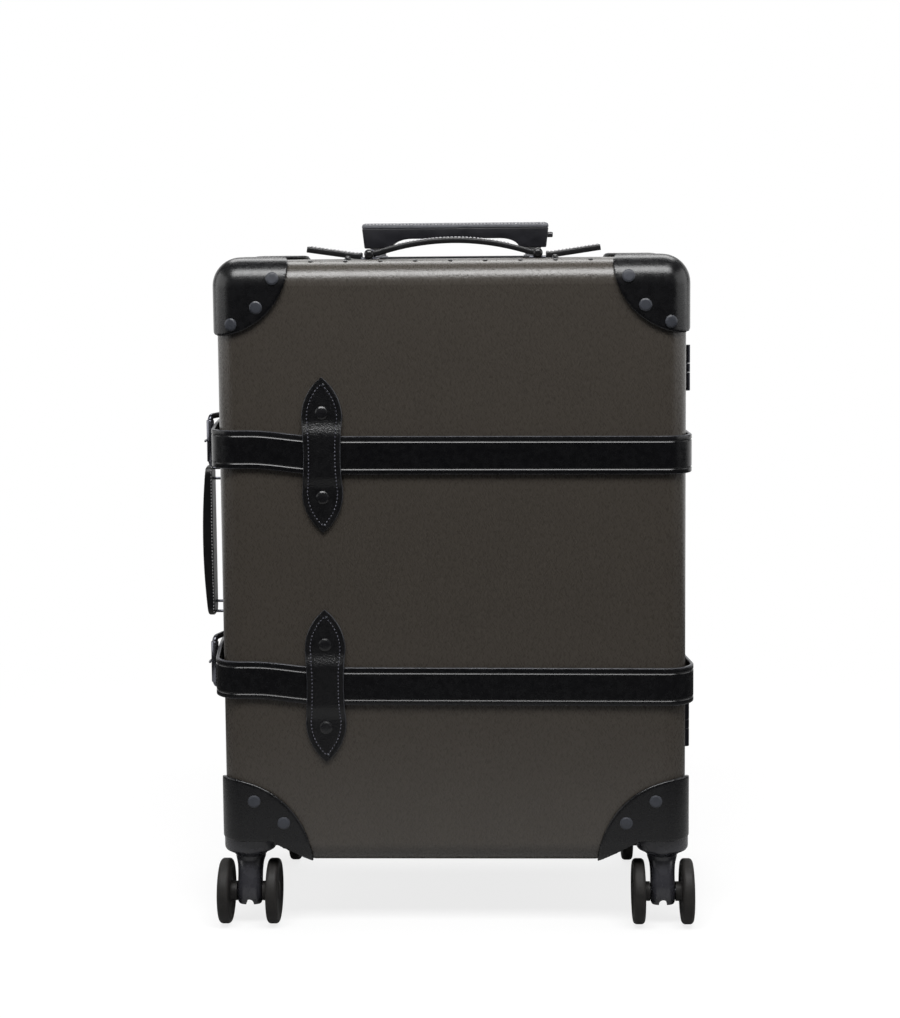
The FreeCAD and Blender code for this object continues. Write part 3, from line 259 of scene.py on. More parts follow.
looks = {
    "fibreboard": makeFibreboard(),
    "leather": makeLeather("bridleLeather", 0.25, 0.15, 0.42),
    "keeperLeather": makeLeather("keeperLeather", 0.3, 0.9, 0.42, 0.3),
    "cornerLeather": makeLeather("mouldedCornerLeather", 0.26, 0.36, 0.48),
    "handleLeather": makeLeather("handleLeather", 0.4, 0.3, 0.4),
    # paler grey for the cut edges: partly the burnished edge's own colour, partly a painted highlight where the
    # edge catches the light
    "cutEdgeAndHighlight": makeMoulding("burnishedCutEdgeAndHighlight", "#2c2d31", "#45464b", 0.3, 0.6, 0.2),
    # keeper thread: painted light blue-grey in place of black thread, as a painted glint on the stitches
    "thread": makeMoulding("paintedGlintThread", "#3a3a43", "#585862", 0.35, 0.3, 0.2),
    "paleThread": makeMoulding("waxedPaleThread", "#9a999c", "#bab9ba", 0.5, 0.3, 0.2),
    "rivet": makeMoulding("gunmetalRivet", "#34363b", "#42444a", 0.32, 0.8, 0.1, 0.28),
    "blackRivet": makeMoulding("blackEnamelRivet", "#101012", "#19191b", 0.22, 2.0, 0.05),
    "steel": makePlate("blackNickelSteel", "#26262b", "#7d7e86", 0.22),
    "leaf": makePlate("gunmetalLeaf", "#303137", "#303137", 0.3),
    "frame": makeMoulding("blackPaintedFrame", "#141416", "#1b1b1e", 0.42),
    "tube": makeTube(),
    "grip": makeMoulding("mouldedGrip", "#0f0f13", "#19191f", 0.45, 0.9, 0.8, 0.35),
    "cap": makeMoulding("mouldedCap", "#4a4b50", "#5d5e63", 0.5, 0.7, 0.4),
    "caster": makeMoulding("nylonCaster", "#29292d", "#35353a", 0.26, 0.9, 0.12, 0.6),
    "tyre": makeMoulding("rubberTyre", "#100e0d", "#211f1d", 0.6, 1.1, 1.0, 0.35),
    "lining": makeLining(),
}
print("materials made:", len(looks))


# Mesh helpers
@contextmanager
def opened(mesh):
    work = bmesh.new()
    work.from_mesh(mesh)
    yield work
    work.to_mesh(mesh)
    work.free()


def finishMesh(mesh, smoothAngle=40):
    with opened(mesh) as work:
        bmesh.ops.remove_doubles(work, verts=work.verts, dist=1e-6)
        bmesh.ops.recalc_face_normals(work, faces=work.faces)
    mesh.shade_smooth()
    mesh.set_sharp_from_angle(angle=math.radians(smoothAngle))


# Joins triangles that lie in one plane
def flattened(work):
    bmesh.ops.dissolve_limit(work, angle_limit=math.radians(1), verts=work.verts, edges=work.edges)


def linkPiece(name, mesh, look):
    piece = bpy.data.objects.new(name, mesh)
    bpy.context.scene.collection.objects.link(piece)
    mesh.materials.clear()
    mesh.materials.append(looks[look])
    return piece


def meshPiece(name, parts, look, smoothAngle=40):
    points = []
    faces = []
    for partPoints, partFaces in parts:
        shift = len(points)
        points += [tuple(p) for p in partPoints]
        faces += [tuple(i + shift for i in face) for face in partFaces]
    mesh = bpy.data.meshes.new(name)
    mesh.from_pydata(points, [], faces)
    finishMesh(mesh, smoothAngle)
    return linkPiece(name, mesh, look)


# Faces that a test picks out, such as a strap's cut edge, take a second material
def faced(piece, look, test):
    mesh = piece.data
    mesh.materials.append(looks[look])
    for face in mesh.polygons:
        if test(face):
            face.material_index = len(mesh.materials) - 1
    return piece


def applied(piece):
    bpy.context.view_layer.update()
    graph = bpy.context.evaluated_depsgraph_get()
    mesh = bpy.data.meshes.new_from_object(piece.evaluated_get(graph))
    piece.modifiers.clear()
    old = piece.data
    piece.data = mesh
    bpy.data.meshes.remove(old)
    return piece


def settle(piece, body, slot, *replaced):
    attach(piece, body)
    if replaced:
        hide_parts(*replaced)
    return piece


def bodyOf(node):
    return [name for name, members in frame["record"]["behaviour"]["bodies"].items() if node in members][0]


def mergedCopy(node, name, look):
    mesh = nodes[node].data.copy()
    mesh.name = name
    with opened(mesh) as work:
        bmesh.ops.remove_doubles(work, verts=work.verts, dist=2e-6)
    return linkPiece(name, mesh, look)


def bevelled(piece, width, angle=50, segments=4):
    bevel = piece.modifiers.new("edges", "BEVEL")
    bevel.width = width * mm
    bevel.segments = segments
    bevel.limit_method = "ANGLE"
    bevel.angle_limit = math.radians(angle)
    applied(piece)
    finishMesh(piece.data)
    return piece


def cutOut(piece, name, parts, look, smoothAngle, selfCrossing=False):
    cutter = meshPiece(name, parts, look)
    cut = piece.modifiers.new(name, "BOOLEAN")
    cut.operation = "DIFFERENCE"
    cut.object = cutter
    cut.solver = "EXACT"
    cut.use_self = selfCrossing
    applied(piece)
    finishMesh(piece.data, smoothAngle)
    bpy.data.objects.remove(cutter)
    return piece


# A CAD piece with its edges bevelled, as a machined or pressed part has
def eased(node, name, width, look, slot):
    piece = mergedCopy(node, name, look)
    with opened(piece.data) as work:
        flattened(work)
    bevelled(piece, width, angle=38, segments=3)
    # large faces stay flat, and only the bevels shade round
    piece.modifiers.new("flatFaces", "WEIGHTED_NORMAL").keep_sharp = True
    applied(piece)
    return settle(piece, bodyOf(node), slot, node)


# A CAD piece remeshed and relaxed, so that its edges roll over as on moulded leather or a casting
def softened(node, name, voxel, rounds, look, slot):
    piece = mergedCopy(node, name, look)
    remesh = piece.modifiers.new("skin", "REMESH")
    remesh.mode = "VOXEL"
    remesh.voxel_size = voxel * mm
    relax = piece.modifiers.new("relax", "SMOOTH")
    relax.factor = 0.5
    relax.iterations = rounds
    applied(piece)
    piece.data.materials.clear()
    piece.data.materials.append(looks[look])
    piece.data.shade_smooth()
    return settle(piece, bodyOf(node), slot, node)


# Faces between rings of points; rings that don't close up on themselves end in two caps
def ringFaces(rings, count, closed=False, wrapped=True):
    faces = []
    for ring in range(rings if closed else rings - 1):
        start, after = ring * count, (ring + 1) % rings * count
        for k in range(count if wrapped else count - 1):
            turn = (k + 1) % count
            faces.append((start + k, start + turn, after + turn, after + k))
    if not closed:
        faces += [tuple(range(count)), tuple(range((rings - 1) * count, rings * count))]
    return faces


# Sweeps: each station is a centre, a width direction, an outward direction and two scales
def swept(stations, profile, closed=False):
    points = []
    for centre, wideWay, outward, wide, thick in stations:
        points += [spot(*(centre + wideWay * (u * wide) + outward * (v * thick))) for u, v in profile]
    return points, ringFaces(len(stations), len(profile), closed)


def arcRun(centre, radius, first, last, count=6):
    turns = [math.radians(first + (last - first) * k / count) for k in range(count + 1)]
    return [(centre[0] + radius * math.cos(t), centre[1] + radius * math.sin(t)) for t in turns]


# A strap's section; a creasing iron leaves a line that is open at the skin and narrow at the bottom
creaseLine = {"mouth": 0.8, "bottom": 0.1}


def strapProfile(width, thick, rim, crease=None, depth=0.5):
    half, skin = width / 2, thick / 2
    run = arcRun((half - rim, skin - rim), rim, 0, 90, 3)
    if crease:
        line = half - crease
        mouth, bottom = creaseLine["mouth"], creaseLine["bottom"]
        run += [(line + mouth, skin), (line + bottom, skin - depth)]
        run += [(line - bottom, skin - depth), (line - mouth, skin)]
    run += [(-u, v) for u, v in reversed(run)]
    return run + [(-u, -v) for u, v in run]


def roundProfile(radius, sides=14):
    return arcRun((0, 0), radius, 0, 360, sides)[:-1]


# A run of straights with a round bend at each inner point, cut into steps; radii has one entry for each bend
def roundedPath(points, radii, step, closed=False):
    finestTurn = math.radians(9)
    count = len(points)
    path = [] if closed else [points[0]]
    corners = range(count) if closed else range(1, count - 1)
    for number, index in enumerate(corners):
        before, corner, after = points[index - 1], points[index], points[(index + 1) % count]
        back = (before - corner).normalized()
        ahead = (after - corner).normalized()
        half = back.angle(ahead) / 2
        radius = radii[number]
        start = corner + back * (radius / math.tan(half))
        end = corner + ahead * (radius / math.tan(half))
        centre = corner + (back + ahead).normalized() * (radius / math.sin(half))
        turn = math.pi - 2 * half
        arms = max(3, math.ceil(turn / finestTurn))
        first = start - centre
        across = (end - centre - first * math.cos(turn)) / max(math.sin(turn), 1e-6)
        for k in range(arms + 1):
            angle = turn * k / arms
            path.append(centre + first * math.cos(angle) + across * math.sin(angle))
    path.append(path[0] if closed else points[-1])
    fine = [path[0]]
    for start, end in zip(path, path[1:]):
        pieces = max(1, math.ceil((end - start).length / step))
        if (end - start).length > 1e-5:
            fine += [start + (end - start) * (k / pieces) for k in range(1, pieces + 1)]
    return fine[:-1] if closed else fine


def directions(path, closed=False):
    if closed:
        neighbours = zip(path[-1:] + path[:-1], path[1:] + path[:1])
    else:
        neighbours = zip(path[:1] + path[:-1], path[1:] + path[-1:])
    return [(after - before).normalized() for before, after in neighbours]


def alongPath(path, wideWay, side=1, wide=None):
    wideWay = Vector(wideWay)
    outward = [(wideWay.cross(ahead) * side).normalized() for ahead in directions(path)]
    wide = wide or [1.0] * len(path)
    return [(centre, wideWay, out, share, 1.0) for centre, out, share in zip(path, outward, wide)]


def tubeStations(path, radii, closed=False):
    stations = []
    guide = None
    for centre, ahead, radius in zip(path, directions(path, closed), radii):
        if guide is None:
            guide = ahead.orthogonal().normalized()
        guide = (guide - ahead * guide.dot(ahead)).normalized()
        stations.append((centre, guide, ahead.cross(guide), radius, radius))
    return stations


# Turned shapes: a profile of (along, radius) points spun round an axis
def turned(profile, centre, axis, sides):
    axis = Vector(axis)
    first = axis.orthogonal().normalized()
    second = axis.cross(first)
    points = []
    for c, s in roundProfile(1.0, sides):
        way = first * c + second * s
        points += [spot(*(centre + axis * along + way * radius)) for along, radius in profile]
    return points, ringFaces(sides, len(profile), closed=True, wrapped=False)


# Geometry Nodes trees: named inputs, instances on points, realised and given a material at the end
def newTree(name, inputs):
    tree = bpy.data.node_groups.new(name, "GeometryNodeTree")
    tree.interface.new_socket("Geometry", in_out="INPUT", socket_type="NodeSocketGeometry")
    for label in inputs:
        tree.interface.new_socket(label, in_out="INPUT", socket_type="NodeSocketFloat")
    tree.interface.new_socket("Material", in_out="INPUT", socket_type="NodeSocketMaterial")
    tree.interface.new_socket("Geometry", in_out="OUTPUT", socket_type="NodeSocketGeometry")
    return tree, addNode(tree, "NodeGroupInput").outputs


def endTree(tree, points, part, turn, material):
    placed = addNode(tree, "GeometryNodeInstanceOnPoints", None, Points=points.outputs[0],
                     Instance=part.outputs[0], Rotation=turn.outputs[0])
    real = addNode(tree, "GeometryNodeRealizeInstances", None, Geometry=placed.outputs[0])
    smooth = addNode(tree, "GeometryNodeSetShadeSmooth", None, Geometry=real.outputs[0])
    dressed = addNode(tree, "GeometryNodeSetMaterial", None, Geometry=smooth.outputs[0], Material=material)
    addNode(tree, "NodeGroupOutput", None, Geometry=dressed.outputs[0])
    return tree


def facingTurn(tree):
    facing = addNode(tree, "GeometryNodeInputNamedAttribute", {"data_type": "FLOAT_VECTOR"}, Name="facing")
    return addNode(tree, "FunctionNodeAlignRotationToVector", {"axis": "Z"},
                   Vector=facing.outputs["Attribute"])


def makeStitchTree():
    tree, given = newTree("stitchRun", ("pitch", "length", "width"))
    line = addNode(tree, "GeometryNodeMeshToCurve", None, Mesh=given["Geometry"])
    spaced = addNode(tree, "GeometryNodeResampleCurve", {"mode": "LENGTH"}, Curve=line.outputs[0],
                     Length=given["pitch"])
    grain = addNode(tree, "GeometryNodeMeshUVSphere", None, Segments=8, Rings=5, Radius=0.5)
    size = addNode(tree, "ShaderNodeCombineXYZ", None, X=given["length"], Y=given["width"], Z=given["width"])
    thread = addNode(tree, "GeometryNodeTransform", None, Geometry=grain.outputs[0], Scale=size.outputs[0])
    tangent = addNode(tree, "GeometryNodeInputTangent")
    turn = addNode(tree, "FunctionNodeAlignRotationToVector", {"axis": "X", "pivot_axis": "Z"},
                   Rotation=facingTurn(tree).outputs[0], Vector=tangent.outputs[0])
    return endTree(tree, spaced, thread, turn, given["Material"])


# A rivet's head has an upright rim, a bevel and a crown; the shares are of its radius
rivetHead = {"sides": 32, "crownShare": 0.82, "bevelShare": 0.1}


def makeRivetTree():
    tree, given = newTree("rivetHeads", ("radius", "rim", "crown"))
    radius, rim = given["radius"], given["rim"]
    sides = rivetHead["sides"]

    def raised(part, up, **sockets):
        lift = addNode(tree, "ShaderNodeCombineXYZ", None, Z=up)
        return addNode(tree, "GeometryNodeTransform", None, Geometry=part.outputs[0],
                       Translation=lift.outputs[0], **sockets)

    inner = mathOf(tree, "MULTIPLY", radius, rivetHead["crownShare"])
    bevel = mathOf(tree, "MULTIPLY", radius, rivetHead["bevelShare"])
    side = addNode(tree, "GeometryNodeMeshCylinder", {"fill_type": "NONE"}, Vertices=sides, Radius=radius,
                   Depth=rim)
    cone = addNode(tree, "GeometryNodeMeshCone", {"fill_type": "NONE"}, Vertices=sides, Radius_Top=inner,
                   Radius_Bottom=radius, Depth=bevel)
    ball = addNode(tree, "GeometryNodeMeshUVSphere", None, Segments=sides, Rings=12, Radius=1.0)
    size = addNode(tree, "ShaderNodeCombineXYZ", None, X=inner, Y=inner, Z=given["crown"])
    wall = raised(side, mathOf(tree, "MULTIPLY", rim, 0.5))
    crown = raised(ball, mathOf(tree, "ADD", rim, bevel), Scale=size.outputs[0])
    head = addNode(tree, "GeometryNodeJoinGeometry")
    for part in (wall, raised(cone, rim), crown):
        tree.links.new(part.outputs[0], head.inputs[0])
    points = addNode(tree, "GeometryNodeMeshToPoints", None, Mesh=given["Geometry"])
    return endTree(tree, points, head, facingTurn(tree), given["Material"])


trees = {"stitch": makeStitchTree(), "rivet": makeRivetTree()}


# Runs are lists of (point, facing) pairs; a stitch run is joined up by edges
def repeated(name, kind, runs, sizes, look):
    mesh = bpy.data.meshes.new(name)
    places = [pair for run in runs for pair in run]
    edges = []
    start = 0
    for run in runs:
        if kind == "stitch":
            edges += [(start + k, start + k + 1) for k in range(len(run) - 1)]
        start += len(run)
    mesh.from_pydata([tuple(spot(*place)) for place, facing in places], edges, [])
    facings = mesh.attributes.new("facing", "FLOAT_VECTOR", "POINT")
    facings.data.foreach_set("vector", [c for place, facing in places for c in Vector(facing).normalized()])
    piece = linkPiece(name, mesh, look)
    modifier = piece.modifiers.new(kind, "NODES")
    modifier.node_group = trees[kind]
    for item in trees[kind].interface.items_tree:
        if item.name in sizes:
            modifier[item.identifier] = sizes[item.name] * mm
        elif item.name == "Material":
            modifier[item.identifier] = looks[look]
    applied(piece)
    return piece


def smoothStep(share):
    share = min(1.0, max(0.0, share))
    return share * share * (3 - 2 * share)


# CAD pieces wear the look of their slot; those that nothing below replaces are shown so
plainLooks = {
    "fibreboard": "fibreboard", "leather": "leather", "gunmetal": "steel", "lining": "lining",
    "frame": "frame", "tube": "tube", "grip": "grip", "wheel": "tyre", "caster": "caster",
}
for entry in frame["record"]["subparts"]:
    dressed = nodes[entry["node"]].data
    dressed.materials.clear()
    dressed.materials.append(looks[plainLooks[entry["material_slot"]]])
# Inside, cloth covers the shells, also where it turns in over the caster pockets. What looks towards
# a point just inside the seam counts as inside, so the pockets' upright walls stay outside
nearSeam = 0.95
for node, rim in (("lid_shell", 1), ("base_shell", 0)):
    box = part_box(node)
    heart = (box[0] + box[1]) / 2
    heart.y += (box[rim].y - heart.y) * nearSeam
    faced(nodes[node], "lining", lambda face: face.normal.dot(heart - face.center) > 0)
print("plain pieces dressed")

# Leather corners: wet-moulded over the case, with rolled edges
corner = {"voxel": 0.9, "rounds": 5, "topReach": 60.0, "lowReach": 73.0, "skin": 3.3}
for half in ("lid", "base"):
    for height in ("top", "bottom"):
        for side in ("left", "right"):
            node = f"{half}_corner_{height}_{side}"
            name = f"{half}Corner{height.title()}{side.title()}"
            softened(node, name, corner["voxel"], corner["rounds"], "cornerLeather", "leather")
print("corners moulded")

# Belts: one strap from the buckle fold round the back to the keeper, and its tongue on the lid
belt = {
    "width": 31.0, "thickness": 3.0, "gap": 0.4, "rim": 1.0, "crease": 4.4, "creaseDepth": 0.45,
    "lift": 5.0, "riseStart": -104.3, "riseEnd": -164.3, "droop": 1.4,
    "slack": {"upper": 2.4, "lower": 6.0}, "tongueSlack": 1.3,
    "barRadius": 2.0, "fold": 0.15, "chapeRamp": 20.0, "chapeEnd": 42.0, "barAhead": 34.0,
    "tip": 94.0, "point": 20.0, "tipWidth": 0.1, "tipCurve": 0.6, "tongueGap": 0.3, "riseAtBar": 0.8,
    "holes": (-76.0, -54.0, 44.0), "holeRadius": 2.0, "slot": (-3.7, 7.9, 2.3), "punch": 30.0,
    "blend": (-24.0, -52.0), "step": 3.0, "smooth": 24, "cutFacing": 0.6,
}
strap = belt["thickness"]
snug = belt["gap"] + strap / 2
bend = case["edge"] + snug
heelProud = belt["gap"] + strap + belt["fold"] + belt["barRadius"]
foldReach = belt["barRadius"] + belt["fold"] + strap / 2
foldTop = heelProud + foldReach
stacked = belt["gap"] + 1.5 * strap + belt["fold"]
tongueTop = foldTop + strap + belt["tongueGap"]
tongueLow = stacked + strap + belt["tongueGap"]
tongueAtBar = snug + (tongueTop - snug) * belt["riseAtBar"]
beltProfile = strapProfile(belt["width"], strap, belt["rim"], belt["crease"], belt["creaseDepth"])


def beltHeight(base, across):
    rise = smoothStep((belt["riseStart"] - across) / (belt["riseStart"] - belt["riseEnd"]))
    droop = min(1.0, max(0.0, (across - belt["riseStart"]) / (case["half"] - belt["riseStart"])))
    return base + belt["lift"] * rise - belt["droop"] * droop


def beltStations(points, radii, base, side, tapered=False):
    path = [Vector((p.x, p.y, beltHeight(base, p.x))) for p in roundedPath(points, radii, belt["step"])]
    wide = [1.0] * len(path)
    if tapered:
        wide[-1] = belt["tipWidth"]
        left = 0.0
        for i in reversed(range(len(path) - 1)):
            left += (path[i + 1] - path[i]).length
            wide[i] = max(belt["tipWidth"], min(1.0, (left / belt["point"]) ** belt["tipCurve"]))
    return alongPath(path, (0, 0, 1), side, wide)


def beltPiece(name, stations):
    return meshPiece(name, [swept(stations, beltProfile)], "leather", belt["smooth"])


# The strap's top and bottom cut edges take the paler cut edge material, which is partly a painted highlight
def withCutEdges(piece):
    return faced(piece, "cutEdgeAndHighlight", lambda face: abs(face.normal.z) > belt["cutFacing"])


def flat(across, along):
    return Vector((across, along, 0))


def makeBelts():
    half, face = case["half"], case["back"]
    for level in levels:
        heel = pivot(f"{level}_prong_swing")
        base = heel.z - belt["lift"]
        nose = heel.y - foldReach
        flatEnd = heel.y + belt["barRadius"]
        rampEnd = heel.y + belt["chapeRamp"]
        slack = belt["slack"][level]
        run = [
            flat(-half - stacked + belt["fold"], heel.y + belt["chapeEnd"]),
            flat(-half - stacked, rampEnd),
            flat(-half - foldTop, flatEnd),
            flat(-half - foldTop, nose),
            flat(-half - snug, nose),
            flat(-half - snug, face + snug),
            flat(half + snug, face + snug),
            flat(half + snug, case["seam"] - bend / 2),
            flat(half + snug + slack, -face - snug),
            flat(belt["riseStart"], -face - snug),
        ]
        foldRadius = foldReach - belt["fold"]
        radii = [bend / 2, bend / 4, foldRadius, foldRadius, bend, bend, bend * 2, bend]
        piece = withCutEdges(beltPiece(f"{level}Belt", beltStations(run, radii, base, -1)))
        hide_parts(f"{level}_belt_back")
        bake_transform(piece)
        tongue = [
            flat(belt["riseStart"], -face - snug),
            flat(-half - snug - belt["tongueSlack"], -face - snug),
            flat(-half - tongueAtBar, heel.y - belt["barAhead"]),
            flat(-half - tongueTop, heel.y - strap / 2),
            flat(-half - tongueTop, flatEnd),
            flat(-half - tongueLow, rampEnd),
            flat(-half - tongueLow + belt["tongueGap"], case["seam"] + belt["tip"]),
        ]
        radii = [bend, bend, bend * 2, bend / 2, bend / 2]
        piece = beltPiece(f"{level}Tongue", beltStations(tongue, radii, base, 1, tapered=True))
        punchTongue(piece, heel.z)
        settle(withCutEdges(piece), "lid", "leather", f"{level}_belt_front")


# A slot for the prong in use, and round holes on both sides of it
def punchTongue(piece, up):
    start, end, high = belt["slot"]
    radius, reach = belt["holeRadius"], belt["punch"]
    wall, outside = -case["half"], -case["half"] - reach
    way = [Vector((outside, start, up)), Vector((wall, start, up))]
    window = [(0, -high), (end - start, -high), (end - start, high), (0, high)]
    cutters = [swept(alongPath(way, (0, 1, 0)), window)]
    pin = [(0, 0), (0, radius), (reach, radius), (reach, 0)]
    for along in belt["holes"]:
        cutters.append(turned(pin, Vector((outside, along, up)), (1, 0, 0), sides=20))
    cutOut(piece, "punch", cutters, "leather", belt["smooth"], selfCrossing=True)


makeBelts()
print("belts cut")

# Belt keepers: waisted leather leaves that arch over the belts, stitched round the edge
keeper = {
    "length": 63.0, "lobe": (16.6, 30.0), "flank": (13.1, 46.5), "waist": 15.0, "leather": 2.4, "rows": 96,
    "low": 1.3, "high": 4.9, "ramp": (15.0, 29.0), "narrow": 9.0, "tipHalf": 0.05, "cutFacing": 0.75,
    "edges": (0.0, 0.12, 0.45, 1.0, 2.6, 3.7, 4.4, 5.1, 8.0), "edgeDrop": 0.9, "groove": 0.3,
    "stitchIn": 4.4, "stitchSink": 0.1, "stitchSteps": 160, "stitchSkip": 3, "seamGap": 0.9,
    "stitch": {"pitch": 3.0, "length": 1.8, "width": 1.1}, "rivetUp": 34.3,
    "rivet": {"radius": 5.3, "rim": 0.5, "crown": 0.5}, "eyeletDown": 6.0, "eyeletAside": 1.6,
    "eyelet": {"radius": 1.0, "rim": 0.3, "crown": 0.6},
}


def circleThrough(first, second, third):
    ax, ay = first
    bx, by = second
    cx, cy = third
    d = 2 * (ax * (by - cy) + bx * (cy - ay) + cx * (ay - by))
    a, b, c = ax ** 2 + ay ** 2, bx ** 2 + by ** 2, cx ** 2 + cy ** 2
    x = (a * (by - cy) + b * (cy - ay) + c * (ay - by)) / d
    y = (a * (cx - bx) + b * (ax - cx) + c * (bx - ax)) / d
    return x, y, math.hypot(ax - x, ay - y)


def keeperHalf(up):
    up = abs(up)
    lobeX, lobeZ = keeper["lobe"]
    if up <= lobeZ:
        x, y, radius = circleThrough((lobeX, lobeZ), (keeper["waist"], 0), (lobeX, -lobeZ))
        return x - math.sqrt(radius ** 2 - up ** 2)
    x, y, radius = circleThrough((0, keeper["length"]), keeper["flank"], keeper["lobe"])
    return max(keeper["tipHalf"], x + math.sqrt(max(0.0, radius ** 2 - (up - y) ** 2)))


def keeperLine(up):
    start, end = keeper["ramp"]
    return keeper["high"] + (keeper["low"] - keeper["high"]) * smoothStep((abs(up) - start) / (end - start))


def slopeOf(line, up, step=0.1):
    return (line(up + step) - line(up - step)) / (2 * step)


# Heights along a keeper that stand closer together near its tips
def keeperRow(row, rows):
    return keeper["length"] * math.sin(math.pi * (row / rows - 0.5))


def keeperMesh(across, face, base, sign):
    rows = keeper["rows"]
    points = []
    for row in range(rows + 1):
        up = keeperRow(row, rows)
        half = keeperHalf(up)
        squeeze = min(1.0, half / keeper["narrow"])
        top = keeperLine(up) + keeper["leather"] / 2
        ring = [(half, top - keeper["leather"])]
        for inset in keeper["edges"]:
            drop = keeper["edgeDrop"] * (1 - math.sqrt(1 - (1 - inset) ** 2)) if inset < 1 else 0.0
            groove = keeper["groove"] * squeeze if inset == keeper["stitchIn"] else 0.0
            ring.append((half - inset * squeeze, top - drop - groove))
        ring.append((0.0, top))
        ring += [(-x, v) for x, v in reversed(ring[:-1])]
        points += [spot(across + x, sign * (face + v), base + up) for x, v in ring]
    return points, ringFaces(rows + 1, len(ring))


def keeperStitches(across, face, base, sign):
    runs = []
    steps, skip = keeper["stitchSteps"], keeper["stitchSkip"]
    for side in (-1, 1):
        run = []
        for row in range(skip, steps - skip + 1):
            up = keeperRow(row, steps)
            slope = slopeOf(keeperHalf, up, step=0.05)
            inward = Vector((-1, slope)).normalized() * keeper["stitchIn"]
            x = keeperHalf(up) + inward.x
            z = up + inward.y
            if x > keeper["seamGap"]:
                height = keeperLine(z) + keeper["leather"] / 2 - keeper["stitchSink"]
                place = (across + side * x, sign * (face + height), base + z)
                run.append((place, (0, sign, -slopeOf(keeperLine, z))))
        runs.append(run)
    return runs


def makeKeepers():
    face = case["back"]
    seat = face + keeper["low"] + keeper["leather"] / 2
    for end, sign, body in (("front", -1, "lid"), ("back", 1, "base")):
        title = end.title()
        outward = (0, sign, 0)
        stitches = []
        rivets = []
        eyelets = []
        for level in levels:
            node = f"{level}_keeper_{end}"
            low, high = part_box(node)
            across = ((low.x + high.x) / 2 - middleX) / mm
            base = (low.z + high.z) / 2 / mm
            leaf = keeperMesh(across, face, base, sign)
            piece = meshPiece(f"{level}Keeper{title}", [leaf], "keeperLeather", smoothAngle=50)
            # the keeper's cut edges take the paler cut edge material, which is partly a painted highlight
            faced(piece, "cutEdgeAndHighlight", lambda facet: abs(facet.normal.y) < keeper["cutFacing"])
            settle(piece, body, "leather", node)
            stitches += keeperStitches(across, face, base, sign)
            for way in (-1, 1):
                up = base + way * keeper["rivetUp"]
                rivets.append(((across, sign * seat, up), outward))
                up = base + way * (keeper["length"] - keeper["eyeletDown"])
                eyelets.append(((across + keeper["eyeletAside"], sign * seat, up), outward))
        sewn = repeated(f"keeperStitches{title}", "stitch", stitches, keeper["stitch"], "thread")
        settle(sewn, body, "leather")
        heads = repeated(f"keeperRivets{title}", "rivet", [rivets], keeper["rivet"], "blackRivet")
        settle(heads, body, "gunmetal")
        tips = repeated(f"keeperTipPins{title}", "rivet", [eyelets], keeper["eyelet"], "rivet")
        settle(tips, body, "gunmetal")


makeKeepers()
print("keepers sewn")

# Corner rivets: on the top corners one on the flat and one by each rounded edge, on the bottom corners two
cornerRivet = {
    "size": {"radius": 5.2, "rim": 0.55, "crown": 0.25}, "tilt": 15.6,
    "flat": (0.57, 0.615), "ridge": (0.795, 0.84),
    "low": ((0.35, 0.745), (0.68, 0.495)),
}
tack = {"size": {"radius": 2.0, "rim": 0.3, "crown": 0.35}, "count": 9, "reach": 113.0, "along": -85.0}
stud = {"size": {"radius": 3.2, "rim": 0.8, "crown": 2.4}, "across": 85.0, "along": -58.0}


def cornerRivetRuns(sign):
    runs = []
    tilt = math.radians(cornerRivet["tilt"])
    face, edge, skin = case["back"], case["edge"], corner["skin"]
    top, low = corner["topReach"], corner["lowReach"]
    for side in (-1, 1):
        inward, down = cornerRivet["flat"]
        seat = (side * (case["half"] - top * inward), sign * (face + skin), case["top"] - top * down)
        runs.append((seat, (0, sign, 0)))
        inward, down = cornerRivet["ridge"]
        ridge = Vector((0, sign * math.cos(tilt), math.sin(tilt)))
        seat = Vector((side * (case["half"] - top * inward), sign * (face - edge), case["top"] - edge))
        runs.append((seat + ridge * (edge + skin), ridge))
        ridge = Vector((side * math.sin(tilt), sign * math.cos(tilt), 0))
        seat = Vector((side * (case["half"] - edge), sign * (face - edge), case["top"] - top * down))
        runs.append((seat + ridge * (edge + skin), ridge))
        for inward, up in cornerRivet["low"]:
            seat = (side * (case["half"] - low * inward), sign * (face + skin), case["bottom"] + low * up)
            runs.append((seat, (0, sign, 0)))
    return [runs]


def makeRivets():
    for half, sign in (("lid", -1), ("base", 1)):
        heads = repeated(f"{half}CornerRivets", "rivet", cornerRivetRuns(sign), cornerRivet["size"], "rivet")
        settle(heads, half, "gunmetal", f"{half}_rivets")
    row = []
    for k in range(tack["count"]):
        across = tack["reach"] * (2 * k / (tack["count"] - 1) - 1)
        ahead = tack["along"] + case["back"] - case["edge"]
        rise = math.sqrt(case["edge"] ** 2 - ahead ** 2)
        row.append(((across, tack["along"], case["top"] - case["edge"] + rise), (0, ahead, rise)))
    settle(repeated("lidTacks", "rivet", [row], tack["size"], "blackRivet"), "lid", "gunmetal")
    pair = [((side * stud["across"], stud["along"], case["top"]), (0, 0, 1)) for side in (-1, 1)]
    settle(repeated("deckStuds", "rivet", [pair], stud["size"], "blackRivet"), "lid", "gunmetal")


makeRivets()
print("rivets set")

